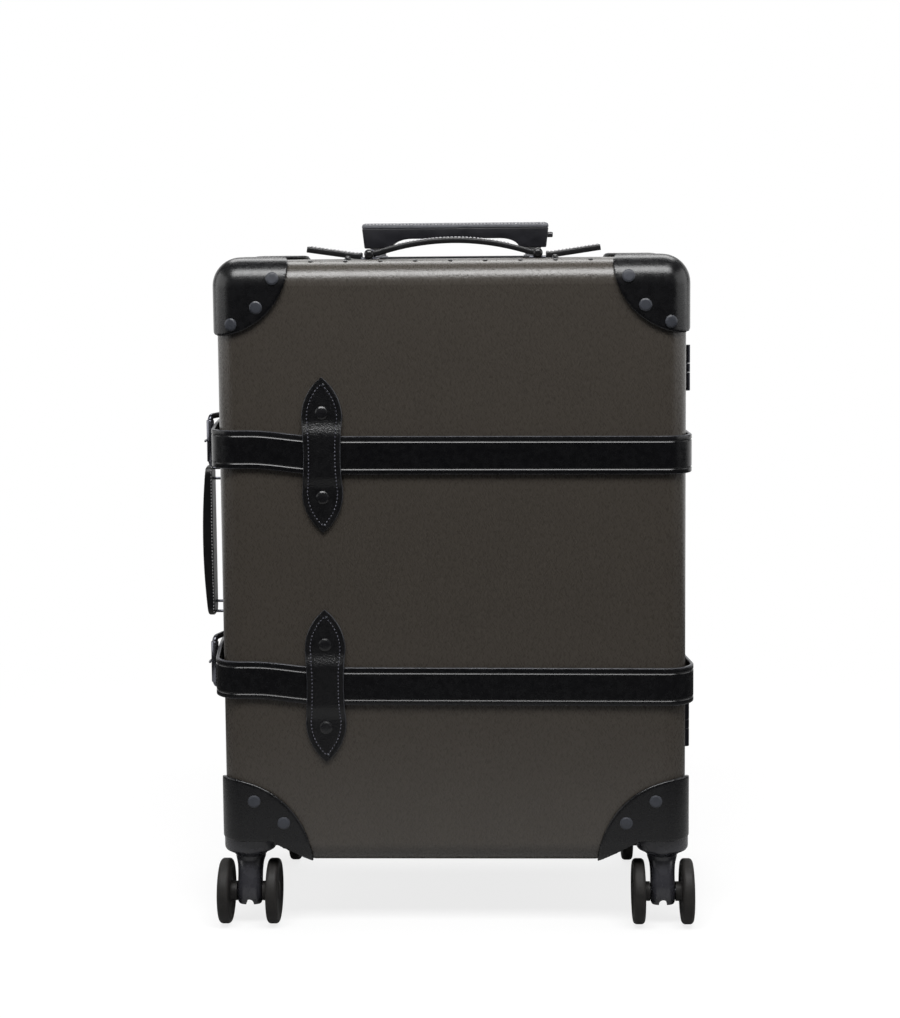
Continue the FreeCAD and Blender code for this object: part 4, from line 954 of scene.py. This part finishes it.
# Buckles: a bent frame with a roller on its front bar, a tapered prong and a leather loop beside each
buckle = {
    "railUp": 20.6, "wire": 2.4, "round": 4.5, "step": 3.0, "barGap": 0.5,
    "roller": {"radius": 3.2, "reach": 17.6, "bevel": (0.5, 0.4), "boreShare": 0.9},
    "prong": {
        "eye": 3.3, "boreGap": 0.08, "height": 3.4, "chamfer": 0.4, "shank": 1.35, "tip": 1.0,
        "endShare": 0.5, "root": (0.6, 1.2), "swing": 4.5, "overTongue": 0.4, "overRoller": 0.3,
        "tipStart": 2.0, "tipEnd": (0.5, 3.8), "bends": (2.6, 12.0), "step": 1.5,
    },
    "loop": {
        "start": 24.0, "length": 9.0, "thick": 2.0, "reach": 10.55, "half": 16.0, "root": 0.2, "rim": 0.6,
        "round": 2.4, "step": 2.0,
    },
}


def bentWire(corners, bendRadius, step, wire, sides):
    path = roundedPath(corners, [bendRadius] * len(corners), step, closed=True)
    return swept(tubeStations(path, [1.0] * len(path), True), roundProfile(wire, sides), True)


def makeBuckles():
    half = case["half"]
    loops = []
    roller, shape = buckle["roller"], buckle["loop"]
    radius, reach = roller["radius"], roller["reach"]
    barProud = tongueAtBar + strap / 2 + buckle["barGap"] + radius
    inward, down = roller["bevel"]
    end = [(reach - inward, radius), (reach, radius - down), (reach, buckle["wire"] * roller["boreShare"])]
    sleeve = [(-along, r) for along, r in reversed(end)] + end
    skin = shape["thick"] / 2
    tall = shape["half"] + skin
    root, crown = -half - shape["root"], -half - shape["reach"] - skin
    outline = ((root, tall), (crown, tall), (crown, -tall), (root, -tall))
    for level in levels:
        heel = pivot(f"{level}_prong_swing")
        bar = Vector((-half - barProud, heel.y - belt["barAhead"], heel.z))
        up = Vector((0, 0, buckle["railUp"]))
        wire = bentWire([heel + up, bar + up, bar - up, heel - up], buckle["round"], buckle["step"],
                        buckle["wire"], sides=14)
        piece = meshPiece(f"{level}BuckleFrame", [wire, turned(sleeve, bar, (0, 0, 1), sides=32)], "steel")
        settle(piece, "base", "gunmetal", f"{level}_buckle_frame")
        makeProng(level, heel, bar)
        middle = heel.y + shape["start"] + shape["length"] / 2
        bends = [Vector((x, middle, heel.z + z)) for x, z in outline]
        path = roundedPath(bends, [shape["round"]] * 2, shape["step"])
        section = strapProfile(shape["length"], shape["thick"], shape["rim"])
        loops.append(swept(alongPath(path, (0, 1, 0)), section))
    settle(meshPiece("beltLoops", loops, "leather"), "base", "leather", "belt_loops")


def makeProng(level, heel, bar):
    shape = buckle["prong"]
    bore = belt["barRadius"] + shape["boreGap"]
    tall, radius, chamfer = shape["height"] / 2, shape["eye"], shape["chamfer"]
    ring = [(-tall, bore), (-tall, radius - chamfer), (-tall + chamfer, radius), (tall - chamfer, radius)]
    ring += [(tall, radius - chamfer), (tall, bore), (-tall, bore)]
    eye = turned(ring, heel, (0, 0, 1), sides=28)
    tipX = bar.x - buckle["roller"]["radius"] - shape["overRoller"] - shape["tip"]
    elbowX = -case["half"] - tongueTop - strap / 2 - shape["shank"] - shape["overTongue"]
    inward, ahead = shape["root"]
    dip, past = shape["tipEnd"]
    bends = ((heel.x - radius + inward, heel.y - ahead), (elbowX, heel.y - shape["swing"]),
             (tipX, bar.y + shape["tipStart"]), (tipX + dip, bar.y - past))
    path = roundedPath([Vector((x, y, heel.z)) for x, y in bends], shape["bends"], shape["step"])
    last = len(path) - 1
    radii = [shape["shank"] + (shape["tip"] - shape["shank"]) * k / last for k in range(last + 1)]
    radii[-1] *= shape["endShare"]
    shank = swept(tubeStations(path, radii), roundProfile(1.0, sides=12))
    piece = meshPiece(f"{level}Prong", [eye, shank], "steel")
    settle(piece, f"{level}_prong", "gunmetal", f"{level}_buckle_prong")


makeBuckles()
print("buckles bent")

# Top handle: a stitched leather arch whose ends turn round the lug pins, and a stitched tail beyond each lug
topHandle = {
    "width": 23.0, "thick": 4.8, "rim": 1.5, "rise": 11.0, "reach": 67.5, "gripHalf": 46.0, "along": 15.0,
    "steps": 40, "lug": 71.7, "lugBevel": 0.7, "pinUp": 4.6, "pin": 1.6, "head": (4.2, 3.2, 0.3), "ear": 15.1,
    "stitchIn": 1.1, "stitchProud": 0.1, "stitch": {"pitch": 3.2, "length": 2.2, "width": 1.5},
    "strap": {
        "overlap": 0.2, "short": 2.0, "steps": 10, "ends": ((-1.0, 0.2), (1.5, 0.0)), "blend": (-2.0, 1.0),
    },
    "tail": {
        "start": 79.0, "flat": 5.0, "length": 46.0, "lift": 6.0, "thick": 5.0, "rim": 1.3, "gap": 0.3,
        "step": 2.0,
    },
}


def archPoint(across):
    shape = topHandle
    radius = (shape["reach"] ** 2 + shape["rise"] ** 2) / (2 * shape["rise"])
    apex = case["top"] + shape["pinUp"] + shape["rise"]
    return Vector((across, shape["along"], apex - radius + math.sqrt(radius ** 2 - across ** 2)))


def edgeStitches(stations, half, skin, inset):
    runs = []
    for side in (-1, 1):
        runs.append([(centre + wideWay * (side * (half * wide - inset)) + outward * (skin * thick), outward)
                     for centre, wideWay, outward, wide, thick in stations])
    return runs


def makeTopGrip():
    shape = topHandle
    half, steps = shape["gripHalf"], shape["steps"]
    stations = alongPath([archPoint(-half + 2 * half * k / steps) for k in range(steps + 1)], (0, -1, 0))
    profile = strapProfile(shape["width"], shape["thick"], shape["rim"])
    grip = meshPiece("topHandleGrip", [swept(stations, profile)], "handleLeather")
    settle(grip, "top_handle", "leather", "top_handle_grip")
    skin = shape["thick"] / 2 + shape["stitchProud"]
    runs = edgeStitches(stations, shape["width"] / 2, skin, shape["stitchIn"])
    sewn = repeated("topHandleStitches", "stitch", runs, shape["stitch"], "paleThread")
    settle(sewn, "top_handle", "leather")


# The strap ends curve from the grip down to the lugs
def makeTopStraps(pinUp):
    shape, end = topHandle, topHandle["strap"]
    profile = strapProfile(shape["width"], shape["thick"], shape["rim"])
    half, along, lug = shape["gripHalf"], shape["along"], shape["lug"]
    free = shape["reach"] - end["short"] - half
    steps = end["steps"]
    for side, name in ((-1, "Left"), (1, "Right")):
        path = [archPoint(side * (half - end["overlap"] + free * k / steps)) for k in range(steps + 1)]
        path += [Vector((side * (lug + x), along, pinUp + up)) for x, up in end["ends"]]
        strapEnd = swept(alongPath(path, (0, -side, 0)), profile)
        piece = meshPiece(f"topHandleStrap{name}", [strapEnd], "handleLeather")
        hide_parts("top_handle_straps")
        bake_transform(piece)


def makeTopPins(pinUp):
    shape = topHandle
    ear, lug, along = shape["ear"], shape["lug"], shape["along"]
    radius, dome, under = shape["head"]
    run = [(-ear - dome, 0.0)]
    for angle in (20, 40, 60, 80, 90):
        turn = math.radians(angle)
        run.append((-ear - dome * math.cos(turn), radius * math.sin(turn)))
    run += [(-ear + under, shape["pin"]), (0.0, shape["pin"])]
    run += [(-reach, r) for reach, r in reversed(run[:-1])]
    pins = [turned(run, Vector((side * lug, along, pinUp)), (0, 1, 0), sides=28) for side in (-1, 1)]
    piece = meshPiece("topHandlePins", pins, "blackRivet", smoothAngle=50)
    settle(piece, "base", "gunmetal", "top_handle_pins")


def makeTopTails():
    shape, tail = topHandle, topHandle["tail"]
    start, skin = tail["start"], tail["thick"] / 2
    outline = ((start, 0.0), (start + tail["flat"], 0.0), (start + tail["length"], tail["lift"]))
    deck = case["top"] + skin + tail["gap"]
    parts = []
    runs = []
    for side in (-1, 1):
        points = [Vector((side * x, shape["along"], deck + up)) for x, up in outline]
        stations = alongPath(roundedPath(points, [2 * tail["flat"]], tail["step"]), (0, -side, 0))
        parts.append(swept(stations, strapProfile(shape["width"], tail["thick"], tail["rim"])))
        runs += edgeStitches(stations[1:-1], shape["width"] / 2, skin + shape["stitchProud"],
                             shape["stitchIn"])
    settle(meshPiece("topHandleTails", parts, "handleLeather"), "base", "leather", "top_handle_tails")
    sewn = repeated("tailStitches", "stitch", runs, shape["stitch"], "paleThread")
    settle(sewn, "base", "leather")


topPinUp = case["top"] + topHandle["pinUp"]
makeTopGrip()
makeTopStraps(topPinUp)
makeTopTails()
makeTopPins(topPinUp)
eased("top_handle_lugs", "topHandleLugs", topHandle["lugBevel"], "steel", "gunmetal")
print("top handle sewn")

# Side handle: a bowed leather grip on two wire loops, stitched along its face and both flanks
sideHandle = {
    "inner": 20.5, "end": 26.0, "reach": 29.5, "over": 7.0, "width": 21.0, "along": 15.0, "axis": 3.6,
    "steps": 60, "rimShare": 0.28, "roundEnd": (8.0, 0.35), "thinEnd": (2.0, 0.55),
    "stitch": {"pitch": 2.8, "length": 1.8, "width": 1.0}, "stitchIn": 2.4, "stitchSkin": 0.49,
    "flankIn": 0.1, "flankDown": 0.38, "faceSkip": 6, "flankSkip": 4,
    "loop": {"wire": 1.2, "half": 4.5, "round": 2.0, "step": 2.0},
    "mount": {"bevel": 0.35, "rivets": (6.8, 4.2), "proud": 1.3},
    "mountRivet": {"radius": 1.7, "rim": 0.4, "crown": 0.5},
}


# Towards each end the grip narrows in a round and gets thinner, over a length and down to a share
def sideGripStations(middle, reach):
    shape = sideHandle
    sag = shape["reach"] - shape["end"]
    radius = (reach ** 2 + sag ** 2) / (2 * sag)
    roundLength, roundShare = shape["roundEnd"]
    thinLength, thinShare = shape["thinEnd"]
    stations = []
    for k in range(shape["steps"] + 1):
        up = reach * math.sin(math.pi * (k / shape["steps"] - 0.5))
        outer = shape["reach"] - radius + math.sqrt(radius ** 2 - up ** 2)
        near = reach - abs(up)
        bow = math.sqrt(1 - (1 - min(1.0, near / roundLength)) ** 2)
        wide = roundShare + (1 - roundShare) * bow
        thin = thinShare + (1 - thinShare) * math.sqrt(min(1.0, near / thinLength))
        thick = (outer - shape["inner"]) * thin
        centre = Vector((-case["half"] - (shape["inner"] + outer) / 2, shape["along"], middle + up))
        stations.append((centre, Vector((0, 1, 0)), Vector((-1, 0, 0)), wide, thick))
    return stations


def makeSideHandle():
    shape = sideHandle
    low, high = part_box("side_handle_grip")
    middle = (low.z + high.z) / 2 / mm
    reach = (high.z - low.z) / 2 / mm
    half, wall = shape["width"] / 2, -case["half"]
    stations = sideGripStations(middle, reach)
    profile = strapProfile(shape["width"], 1.0, shape["rimShare"])
    grip = meshPiece("sideHandleGrip", [swept(stations, profile)], "handleLeather", smoothAngle=50)
    settle(grip, "side_handle", "leather", "side_handle_grip")
    skip = shape["faceSkip"]
    runs = edgeStitches(stations[skip:-skip], half, shape["stitchSkin"], shape["stitchIn"])
    skip = shape["flankSkip"]
    for side in (-1, 1):
        run = []
        for centre, wideWay, outward, wide, thick in stations[skip:-skip]:
            aside = side * (half * wide - shape["flankIn"])
            run.append((centre + wideWay * aside - outward * (shape["flankDown"] * thick), wideWay * side))
        runs.append(run)
    sewn = repeated("sideHandleStitches", "stitch", runs, shape["stitch"], "paleThread")
    settle(sewn, "side_handle", "leather")
    loop, mount = shape["loop"], shape["mount"]
    loops = []
    rivets = []
    axisX, barX = wall - shape["axis"], wall - (shape["inner"] + shape["end"]) / 2
    tall = loop["half"]
    rivetY, rivetZ = mount["rivets"]
    for end in (-1, 1):
        up = middle + end * (reach - shape["over"])
        outline = ((axisX, -tall), (barX, -tall), (barX, tall), (axisX, tall))
        corners = [Vector((x, shape["along"], up + z)) for x, z in outline]
        loops.append(bentWire(corners, loop["round"], loop["step"], loop["wire"], sides=12))
        rivets += [((wall - mount["proud"], shape["along"] + y, up + z), (-1, 0, 0))
                   for y in (-rivetY, rivetY) for z in (-rivetZ, rivetZ)]
    settle(meshPiece("sideHandleLoops", loops, "steel"), "side_handle", "gunmetal", "side_handle_loops")
    eased("side_handle_mounts", "sideHandleMounts", mount["bevel"], "steel", "gunmetal")
    heads = repeated("sideMountRivets", "rivet", [rivets], shape["mountRivet"], "rivet")
    settle(heads, "base", "gunmetal")


makeSideHandle()
print("side handle hung")

# Pull grip: a moulded arch with a padded cap, a row of cap stitches and a release button
pullGrip = {
    "leg": 26.0, "cutWidth": 17.0, "cutHeight": 8.2, "cutSteps": 8, "draft": 2.0, "round": 1.0,
    "capRings": ((2.0, 0.0), (0.7, 0.9), (0.0, 3.0)), "capRound": 0.7, "capAngle": 20,
    "seamEnd": 4.0, "seamIn": 0.5, "seamDown": 1.2, "seamSteps": 60,
    "stitch": {"pitch": 3.0, "length": 1.9, "width": 1.1}, "buttonRound": 1.0, "bezelBevel": 0.8,
}


def prism(outline, low, high):
    points = [spot(x, y, z) for y in (low, high) for x, z in outline]
    return points, ringFaces(2, len(outline))


# A CAD piece's box in millimetres, with across measured from the case's middle
def boxOf(node):
    return [((c.x - middleX) / mm, c.y / mm, c.z / mm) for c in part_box(node)]


def makeGripBody():
    shape = pullGrip
    (left, front, foot), (right, back, top) = boxOf("grip_body")
    legInner = right - shape["leg"]
    steps = shape["cutSteps"]
    outline = [(left, top), (left + shape["draft"], foot), (-legInner, foot)]
    for side, order in ((-1, range(1, steps + 1)), (1, range(steps, 0, -1))):
        for k in order:
            turn = math.pi / 2 * k / steps
            across = legInner - shape["cutWidth"] * (1 - math.cos(turn))
            outline.append((side * across, foot + shape["cutHeight"] * math.sin(turn)))
    outline += [(legInner, foot), (right - shape["draft"], foot), (right, top)]
    body = meshPiece("gripBody", [prism(outline, front, back)], "grip")
    settle(bevelled(body, shape["round"]), "trolley_grip", "grip", "grip_body")


def makeGripCap():
    shape = pullGrip
    (left, front, foot), (right, back, top) = boxOf("grip_cap")
    rings = [(foot, 0.0)] + [(top - down, inset) for down, inset in shape["capRings"]]
    corners = []
    for up, inset in rings:
        near, far = front + inset, back - inset
        corners += [spot(x, near, up) for x in (left + inset, right - inset)]
        corners += [spot(x, far, up) for x in (right - inset, left + inset)]
    cap = meshPiece("gripCap", [(corners, ringFaces(len(rings), 4))], "cap")
    settle(bevelled(cap, shape["capRound"], shape["capAngle"]), "trolley_grip", "grip", "grip_cap")
    start, end, steps = left + shape["seamEnd"], right - shape["seamEnd"], shape["seamSteps"]
    seam = [start + (end - start) * k / steps for k in range(steps + 1)]
    inset, up = shape["seamIn"], top - shape["seamDown"]
    runs = [[((x, y, up), (0, way, 1)) for x in seam] for y, way in ((front + inset, -1), (back - inset, 1))]
    sewn = repeated("gripCapStitches", "stitch", runs, shape["stitch"], "paleThread")
    settle(sewn, "trolley_grip", "grip")


def makeGripButton():
    (left, front, foot), (right, back, top) = boxOf("grip_button")
    radius, reach, edge = (top - foot) / 2, right - left, pullGrip["buttonRound"]
    run = [(0, 0), (0, radius), (reach - edge, radius)]
    run += arcRun((reach - edge, radius - edge), edge, 90, 0) + [(reach, 0)]
    centre = Vector((left, (front + back) / 2, (foot + top) / 2))
    button = meshPiece("gripButton", [turned(run, centre, (1, 0, 0), sides=24)], "caster")
    settle(button, "release_button", "grip", "grip_button")


makeGripBody()
makeGripCap()
makeGripButton()
eased("trolley_bezel", "trolleyBezel", pullGrip["bezelBevel"], "grip", "grip")
print("pull grip moulded")

# Casters: dished cups, waisted forks and twin wheels with rounded shoulders
wheel = {
    "radius": 26.75, "inner": 15.1, "thick": 9.8, "shoulder": 3.0, "hub": 8.0, "hubLength": 4.5, "bore": 3.1,
    "innerFace": ((-0.2, 8.0), (1.2, 9.5), (1.2, 18.0), (0.0, 19.6)),
    "outerFace": ((0.0, 19.6), (1.0, 18.4), (1.6, 7.5), (0.4, 6.6), (0.2, 3.0), (0.2, 0.0)),
    "trail": 8.0, "axle": 3.0, "axleHalf": 19.6,
}
fork = {
    "stations": ((56.7, 0.0, 12.4, 12.4, 2.0), (54.6, 0.0, 12.4, 12.4, 2.0), (53.0, 0.2, 11.9, 12.2, 2.2),
                 (49.0, 1.6, 10.7, 12.0, 2.8), (43.0, 4.0, 10.1, 11.8, 3.2), (36.0, 6.4, 10.0, 11.4, 3.4),
                 (30.0, 7.7, 10.2, 11.0, 3.4), (24.0, 8.0, 10.3, 10.4, 3.4), (20.0, 8.0, 10.2, 8.8, 3.2),
                 (17.8, 8.0, 9.6, 7.0, 3.0), (16.6, 8.0, 8.8, 5.4, 2.8), (16.1, 8.0, 7.6, 3.8, 2.6)),
    "steps": 3, "sides": 40, "notch": 3.4, "notchTop": 22.2, "notchReach": 30.0, "smooth": 45,
}
cup = {"profile": ((57.0, 5.1), (57.0, 12.9), (57.5, 13.6), (58.8, 14.5), (60.0, 16.2), (61.0, 18.6),
                   (62.0, 20.4), (63.4, 21.3), (65.0, 21.5), (73.9, 21.5), (73.9, 0.0))}


# The faces' points are a depth into the wheel and a radius
def wheelProfile(sign):
    near, far = wheel["inner"], wheel["inner"] + wheel["thick"]
    radius, shoulder = wheel["radius"], wheel["shoulder"]
    inside = near - wheel["hubLength"]
    bends = [math.radians(angle) for angle in (0, 20, 40, 60, 80, 90)]
    low = radius - shoulder
    arc = [(shoulder * (1 - math.cos(angle)), low + shoulder * math.sin(angle)) for angle in bends]
    run = [(inside, wheel["bore"]), (inside, wheel["hub"])]
    run += [(near + x, r) for x, r in (*wheel["innerFace"], *arc)] + [((near + far) / 2, radius)]
    run += [(far - x, r) for x, r in (*reversed(arc), *wheel["outerFace"])]
    return [(sign * along, r) for along, r in run]


# A smooth curve through rows of numbers
def between(rows, steps):
    fine = [rows[0]]
    for k in range(len(rows) - 1):
        before, start, end, after = rows[max(k - 1, 0)], rows[k], rows[k + 1], rows[min(k + 2, len(rows) - 1)]
        for s in range(1, steps + 1):
            t = s / steps
            fine.append(tuple(0.5 * (2 * b + (c - a) * t + (2 * a - 5 * b + 4 * c - d) * t * t
                                     + (3 * b - a - 3 * c + d) * t ** 3)
                              for a, b, c, d in zip(before, start, end, after)))
    return fine


# A fork's stations are a height, a trail, two half widths and how square the section is
def forkMesh(axle, way):
    points = []
    rows = between(fork["stations"], fork["steps"])
    for up, trail, wide, deep, power in rows:
        for c, s in roundProfile(1.0, fork["sides"]):
            x = math.copysign(abs(c) ** (2 / power), c) * wide
            y = math.copysign(abs(s) ** (2 / power), s) * deep
            points.append(spot(axle.x + x, axle.y - way * (wheel["trail"] - trail) + y, up))
    return points, ringFaces(len(rows), fork["sides"])


def notched(piece, axle):
    radius, top, reach = fork["notch"], fork["notchTop"], fork["notchReach"]
    outline = [(axle.x + x, top - radius + z) for x, z in arcRun((0, 0), radius, 0, 180, 10)]
    outline += [(axle.x - radius, top - reach), (axle.x + radius, top - reach)]
    cutter = prism(outline, axle.y - reach, axle.y + reach)
    return cutOut(piece, "notch", [cutter], "caster", fork["smooth"])


def makeCasters():
    cups = {"lid": [], "base": []}
    reach, radius = wheel["axleHalf"], wheel["axle"]
    rod = [(-reach, 0), (-reach, radius), (reach, radius), (reach, 0)]
    for name in casters:
        axle = pivot(f"{name}_wheel_spin")
        title = name.replace("_", " ").title().replace(" ", "")
        parts = [turned(wheelProfile(sign), axle, (1, 0, 0), sides=72) for sign in (-1, 1)]
        piece = meshPiece(f"wheels{title}", parts, "tyre", smoothAngle=50)
        settle(piece, f"{name}_wheel_pair", "wheel", f"{name}_wheels")
        way = math.copysign(1, axle.y)
        piece = meshPiece(f"fork{title}", [forkMesh(axle, way)], "caster", fork["smooth"])
        settle(notched(piece, axle), f"{name}_swivel", "caster", f"{name}_fork")
        piece = meshPiece(f"axle{title}", [turned(rod, axle, (1, 0, 0), sides=20)], "steel")
        settle(piece, f"{name}_swivel", "caster")
        half = "lid" if way < 0 else "base"
        foot = Vector((axle.x, axle.y - way * wheel["trail"], 0))
        cups[half].append(turned(cup["profile"], foot, (0, 0, 1), sides=56))
    for half, parts in cups.items():
        piece = meshPiece(f"{half}CasterCups", parts, "caster", smoothAngle=45)
        settle(piece, half, "caster", f"{half}_caster_cups")


makeCasters()
print("casters turned")

# Hinges: pressed leaves with countersunk screws
hinge = {
    "bevel": 0.45, "screw": {"radius": 1.9, "rim": 0.35, "crown": 0.4}, "rows": (-13.5, 0.0, 13.5),
    "along": 11.5, "leaf": 1.5, "sunk": 0.05, "length": 38.0,
}


def makeHinges():
    low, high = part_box("hinge_pins")
    heights = (high.z / mm - hinge["length"] / 2, low.z / mm + hinge["length"] / 2)
    for half, sign in (("lid", -1), ("base", 1)):
        eased(f"hinge_{half}_leaves", f"{half}HingeLeaves", hinge["bevel"], "leaf", "gunmetal")
        x, y = case["half"] + hinge["leaf"] - hinge["sunk"], case["seam"] + sign * hinge["along"]
        screws = [((x, y, middle + row), (1, 0, 0)) for middle in heights for row in hinge["rows"]]
        settle(repeated(f"{half}HingeScrews", "rivet", [screws], hinge["screw"], "rivet"), half, "gunmetal")


makeHinges()
print("hinges screwed on")

# Linings: cloth glued to the shell, with slight puckers
lining = {"grid": 14.0, "rounds": 6, "pucker": 0.22, "wave": 30.0}


def makeLinings():
    for half in ("lid", "base"):
        piece = mergedCopy(f"{half}_lining", f"{half}Lining", "lining")
        with opened(piece.data) as work:
            flattened(work)
            bmesh.ops.triangulate(work, faces=work.faces)
            for turn in range(lining["rounds"]):
                long = [edge for edge in work.edges if edge.calc_length() > lining["grid"] * mm]
                if not long:
                    break
                bmesh.ops.subdivide_edges(work, edges=long, cuts=1)
                bmesh.ops.triangulate(work, faces=work.faces)
            work.normal_update()
            for vertex in work.verts:
                swell = noise.noise(vertex.co / (lining["wave"] * mm))
                vertex.co += vertex.normal * (swell * lining["pucker"] * mm)
        finishMesh(piece.data, smoothAngle=50)
        settle(piece, half, "lining", f"{half}_lining")


makeLinings()
print("linings glued")

# Camera at the photograph's viewing point; the picture is 900 by 1018 pixels
view = {
    "width": 900, "height": 1018, "focal": 1936.3, "across": 48.4, "away": -1650.51, "up": 563.43,
    "yaw": -1.8076, "pitch": 5.4905, "roll": -0.5118, "centreX": 0.52, "centreY": -80.0,
    "sensor": 36.0, "farthest": 50,
}


def makeCamera():
    yaw, pitch, roll = (math.radians(view[k]) for k in ("yaw", "pitch", "roll"))
    ahead = Vector((math.sin(yaw) * math.cos(pitch), math.cos(yaw) * math.cos(pitch), -math.sin(pitch)))
    right = Vector((math.cos(yaw), -math.sin(yaw), 0))
    above = right.cross(ahead)
    rightTilted = right * math.cos(roll) + above * math.sin(roll)
    aboveTilted = above * math.cos(roll) - right * math.sin(roll)
    turn = Matrix((rightTilted, aboveTilted, -ahead)).transposed().to_4x4()
    data = bpy.data.cameras.new("photoCamera")
    camera = bpy.data.objects.new("photoCamera", data)
    bpy.context.scene.collection.objects.link(camera)
    camera.matrix_world = Matrix.Translation(spot(view["across"], view["away"], view["up"])) @ turn
    longSide = max(view["width"], view["height"])
    data.sensor_width = view["sensor"]
    data.lens = view["focal"] * view["sensor"] / longSide
    data.shift_x = -view["centreX"] / longSide
    data.shift_y = view["centreY"] / longSide
    data.clip_end = view["farthest"]
    bpy.context.scene.camera = camera


makeCamera()

# Studio: a white sweep that fades out round the case, and soft boxes overhead and at the sides
# The floor's two colours for other rays are painted light: pale near the case as a painted pool of light, dark
# further off as painted shade
studio = {
    "floor": "#f2f2f2", "paintedPoolNear": "#a4a4a4", "paintedShadeFar": "#2c2c2c", "paintedPool": (0.35, 0.8), "reach": 12.0,
    "shadow": (0.15, 1.1), "shade": 0.2, "fill": 0.11, "backdrop": 0.8,
    "sweep": (0.7, 1.8), "wall": (0.62, 0.95), "wallUp": (0.15, 0.5),
    "boxes": {
        "overheadFront": ((0.05, -1.15, 2.15), (0, -0.1, 0.45), (2.4, 0.8), 69),
        "overheadBack": ((0.05, 1.3, 2.1), (0, 0.1, 0.45), (2.2, 0.9), 26),
        "leftSide": ((-2.1, -0.1, 1.0), (0, 0, 0.3), (2.4, 1.3), 15),
        "rightSide": ((2.1, -0.1, 1.0), (0, 0, 0.3), (2.4, 1.3), 14),
    },
}


def softBox(name, place, aim, size, power):
    data = bpy.data.lights.new(name, "AREA")
    data.shape = "RECTANGLE"
    data.size, data.size_y = size
    data.energy = power
    lamp = bpy.data.objects.new(name, data)
    bpy.context.scene.collection.objects.link(lamp)
    lamp.location = place
    lamp.rotation_euler = (Vector(aim) - Vector(place)).to_track_quat("-Z", "Y").to_euler()


def smoothRange(tree, value, start, end, low=0.0, high=1.0):
    step = addNode(tree, "ShaderNodeMapRange", {"interpolation_type": "SMOOTHSTEP"}, Value=value,
                   From_Min=start, From_Max=end, To_Min=low, To_Max=high)
    return step.outputs["Result"]


def seesSweep(tree, behind):
    # the camera sees white all round; gloss and glass see it behind the case, with a dim room in front
    ray = addNode(tree, "ShaderNodeLightPath").outputs
    mirror = mathOf(tree, "MAXIMUM", ray["Is Glossy Ray"], ray["Is Transmission Ray"])
    return mathOf(tree, "MAXIMUM", ray["Is Camera Ray"], mathOf(tree, "MULTIPLY", mirror, behind))


# The room is dim all round, with a lit backdrop low down behind the case that the top deck mirrors
def makeRoom():
    world = bpy.data.worlds.new("studioWorld")
    bpy.context.scene.world = world
    world.use_nodes = True
    tree = world.node_tree
    fill = tree.nodes["Background"]
    fill.inputs["Color"].default_value = (1, 1, 1, 1)
    way = addNode(tree, "ShaderNodeTexCoord")
    parts = addNode(tree, "ShaderNodeSeparateXYZ", None, Vector=way.outputs["Generated"])
    behind = smoothRange(tree, parts.outputs["Y"], *studio["wall"])
    low = smoothRange(tree, parts.outputs["Z"], *studio["wallUp"], low=1.0, high=0.0)
    wall = mathOf(tree, "MULTIPLY", behind, low)
    lit = mathOf(tree, "MULTIPLY_ADD", wall, studio["backdrop"], studio["fill"])
    tree.links.new(lit, fill.inputs["Strength"])
    shown = addNode(tree, "ShaderNodeBackground", None, Color=(1, 1, 1, 1), Strength=1.0)
    mix = addNode(tree, "ShaderNodeMixShader", None, Fac=seesSweep(tree, wall), i1=fill.outputs[0],
                  i2=shown.outputs[0])
    tree.links.new(mix.outputs[0], tree.nodes["World Output"].inputs["Surface"])


def makeFloor():
    reach = studio["reach"]
    mesh = bpy.data.meshes.new("studioFloor")
    sheet = [(-reach, -reach, 0), (reach, -reach, 0), (reach, reach, 0), (-reach, reach, 0)]
    mesh.from_pydata(sheet, [], [(0, 1, 2, 3)])
    floor = bpy.data.objects.new("studioFloor", mesh)
    bpy.context.scene.collection.objects.link(floor)
    material, tree, shader = newMaterial("paleFloor", studio["floor"], Roughness=1.0, Specular_IOR_Level=0.0)
    place = addNode(tree, "ShaderNodeTexCoord")
    parts = addNode(tree, "ShaderNodeSeparateXYZ", None, Vector=place.outputs["Object"])
    behind = smoothRange(tree, parts.outputs["Y"], *studio["sweep"])
    away = addNode(tree, "ShaderNodeVectorMath", {"operation": "LENGTH"}, i0=place.outputs["Object"])
    # painted light: as other rays see it, the floor is painted pale near the case as a pool of light and dark
    # further off as the shade of a dim room, and the leather mirrors both
    edge = smoothRange(tree, away.outputs["Value"], *studio["paintedPool"])
    paintedPool = rampOf(tree, edge, [(0.0, studio["paintedPoolNear"]), (1.0, studio["paintedShadeFar"])])
    paintedPoolShader = addNode(tree, "ShaderNodeBsdfDiffuse", None, Color=paintedPool)
    near = smoothRange(tree, away.outputs["Value"], *studio["shadow"], low=studio["shade"], high=0.0)
    white = addNode(tree, "ShaderNodeEmission", None, Color=(1, 1, 1, 1), Strength=1.0)
    faded = addNode(tree, "ShaderNodeMixShader", None, Fac=near, i1=white.outputs[0],
                    i2=shader.outputs[0])
    mix = addNode(tree, "ShaderNodeMixShader", None, Fac=seesSweep(tree, behind), i1=paintedPoolShader.outputs[0],
                  i2=faded.outputs[0])
    tree.links.new(mix.outputs[0], tree.nodes["Material Output"].inputs["Surface"])
    mesh.materials.append(material)


bpy.context.scene.view_settings.view_transform = "Standard"
makeRoom()
makeFloor()
for name, settings in studio["boxes"].items():
    softBox(name, *settings)
print("camera and studio set")
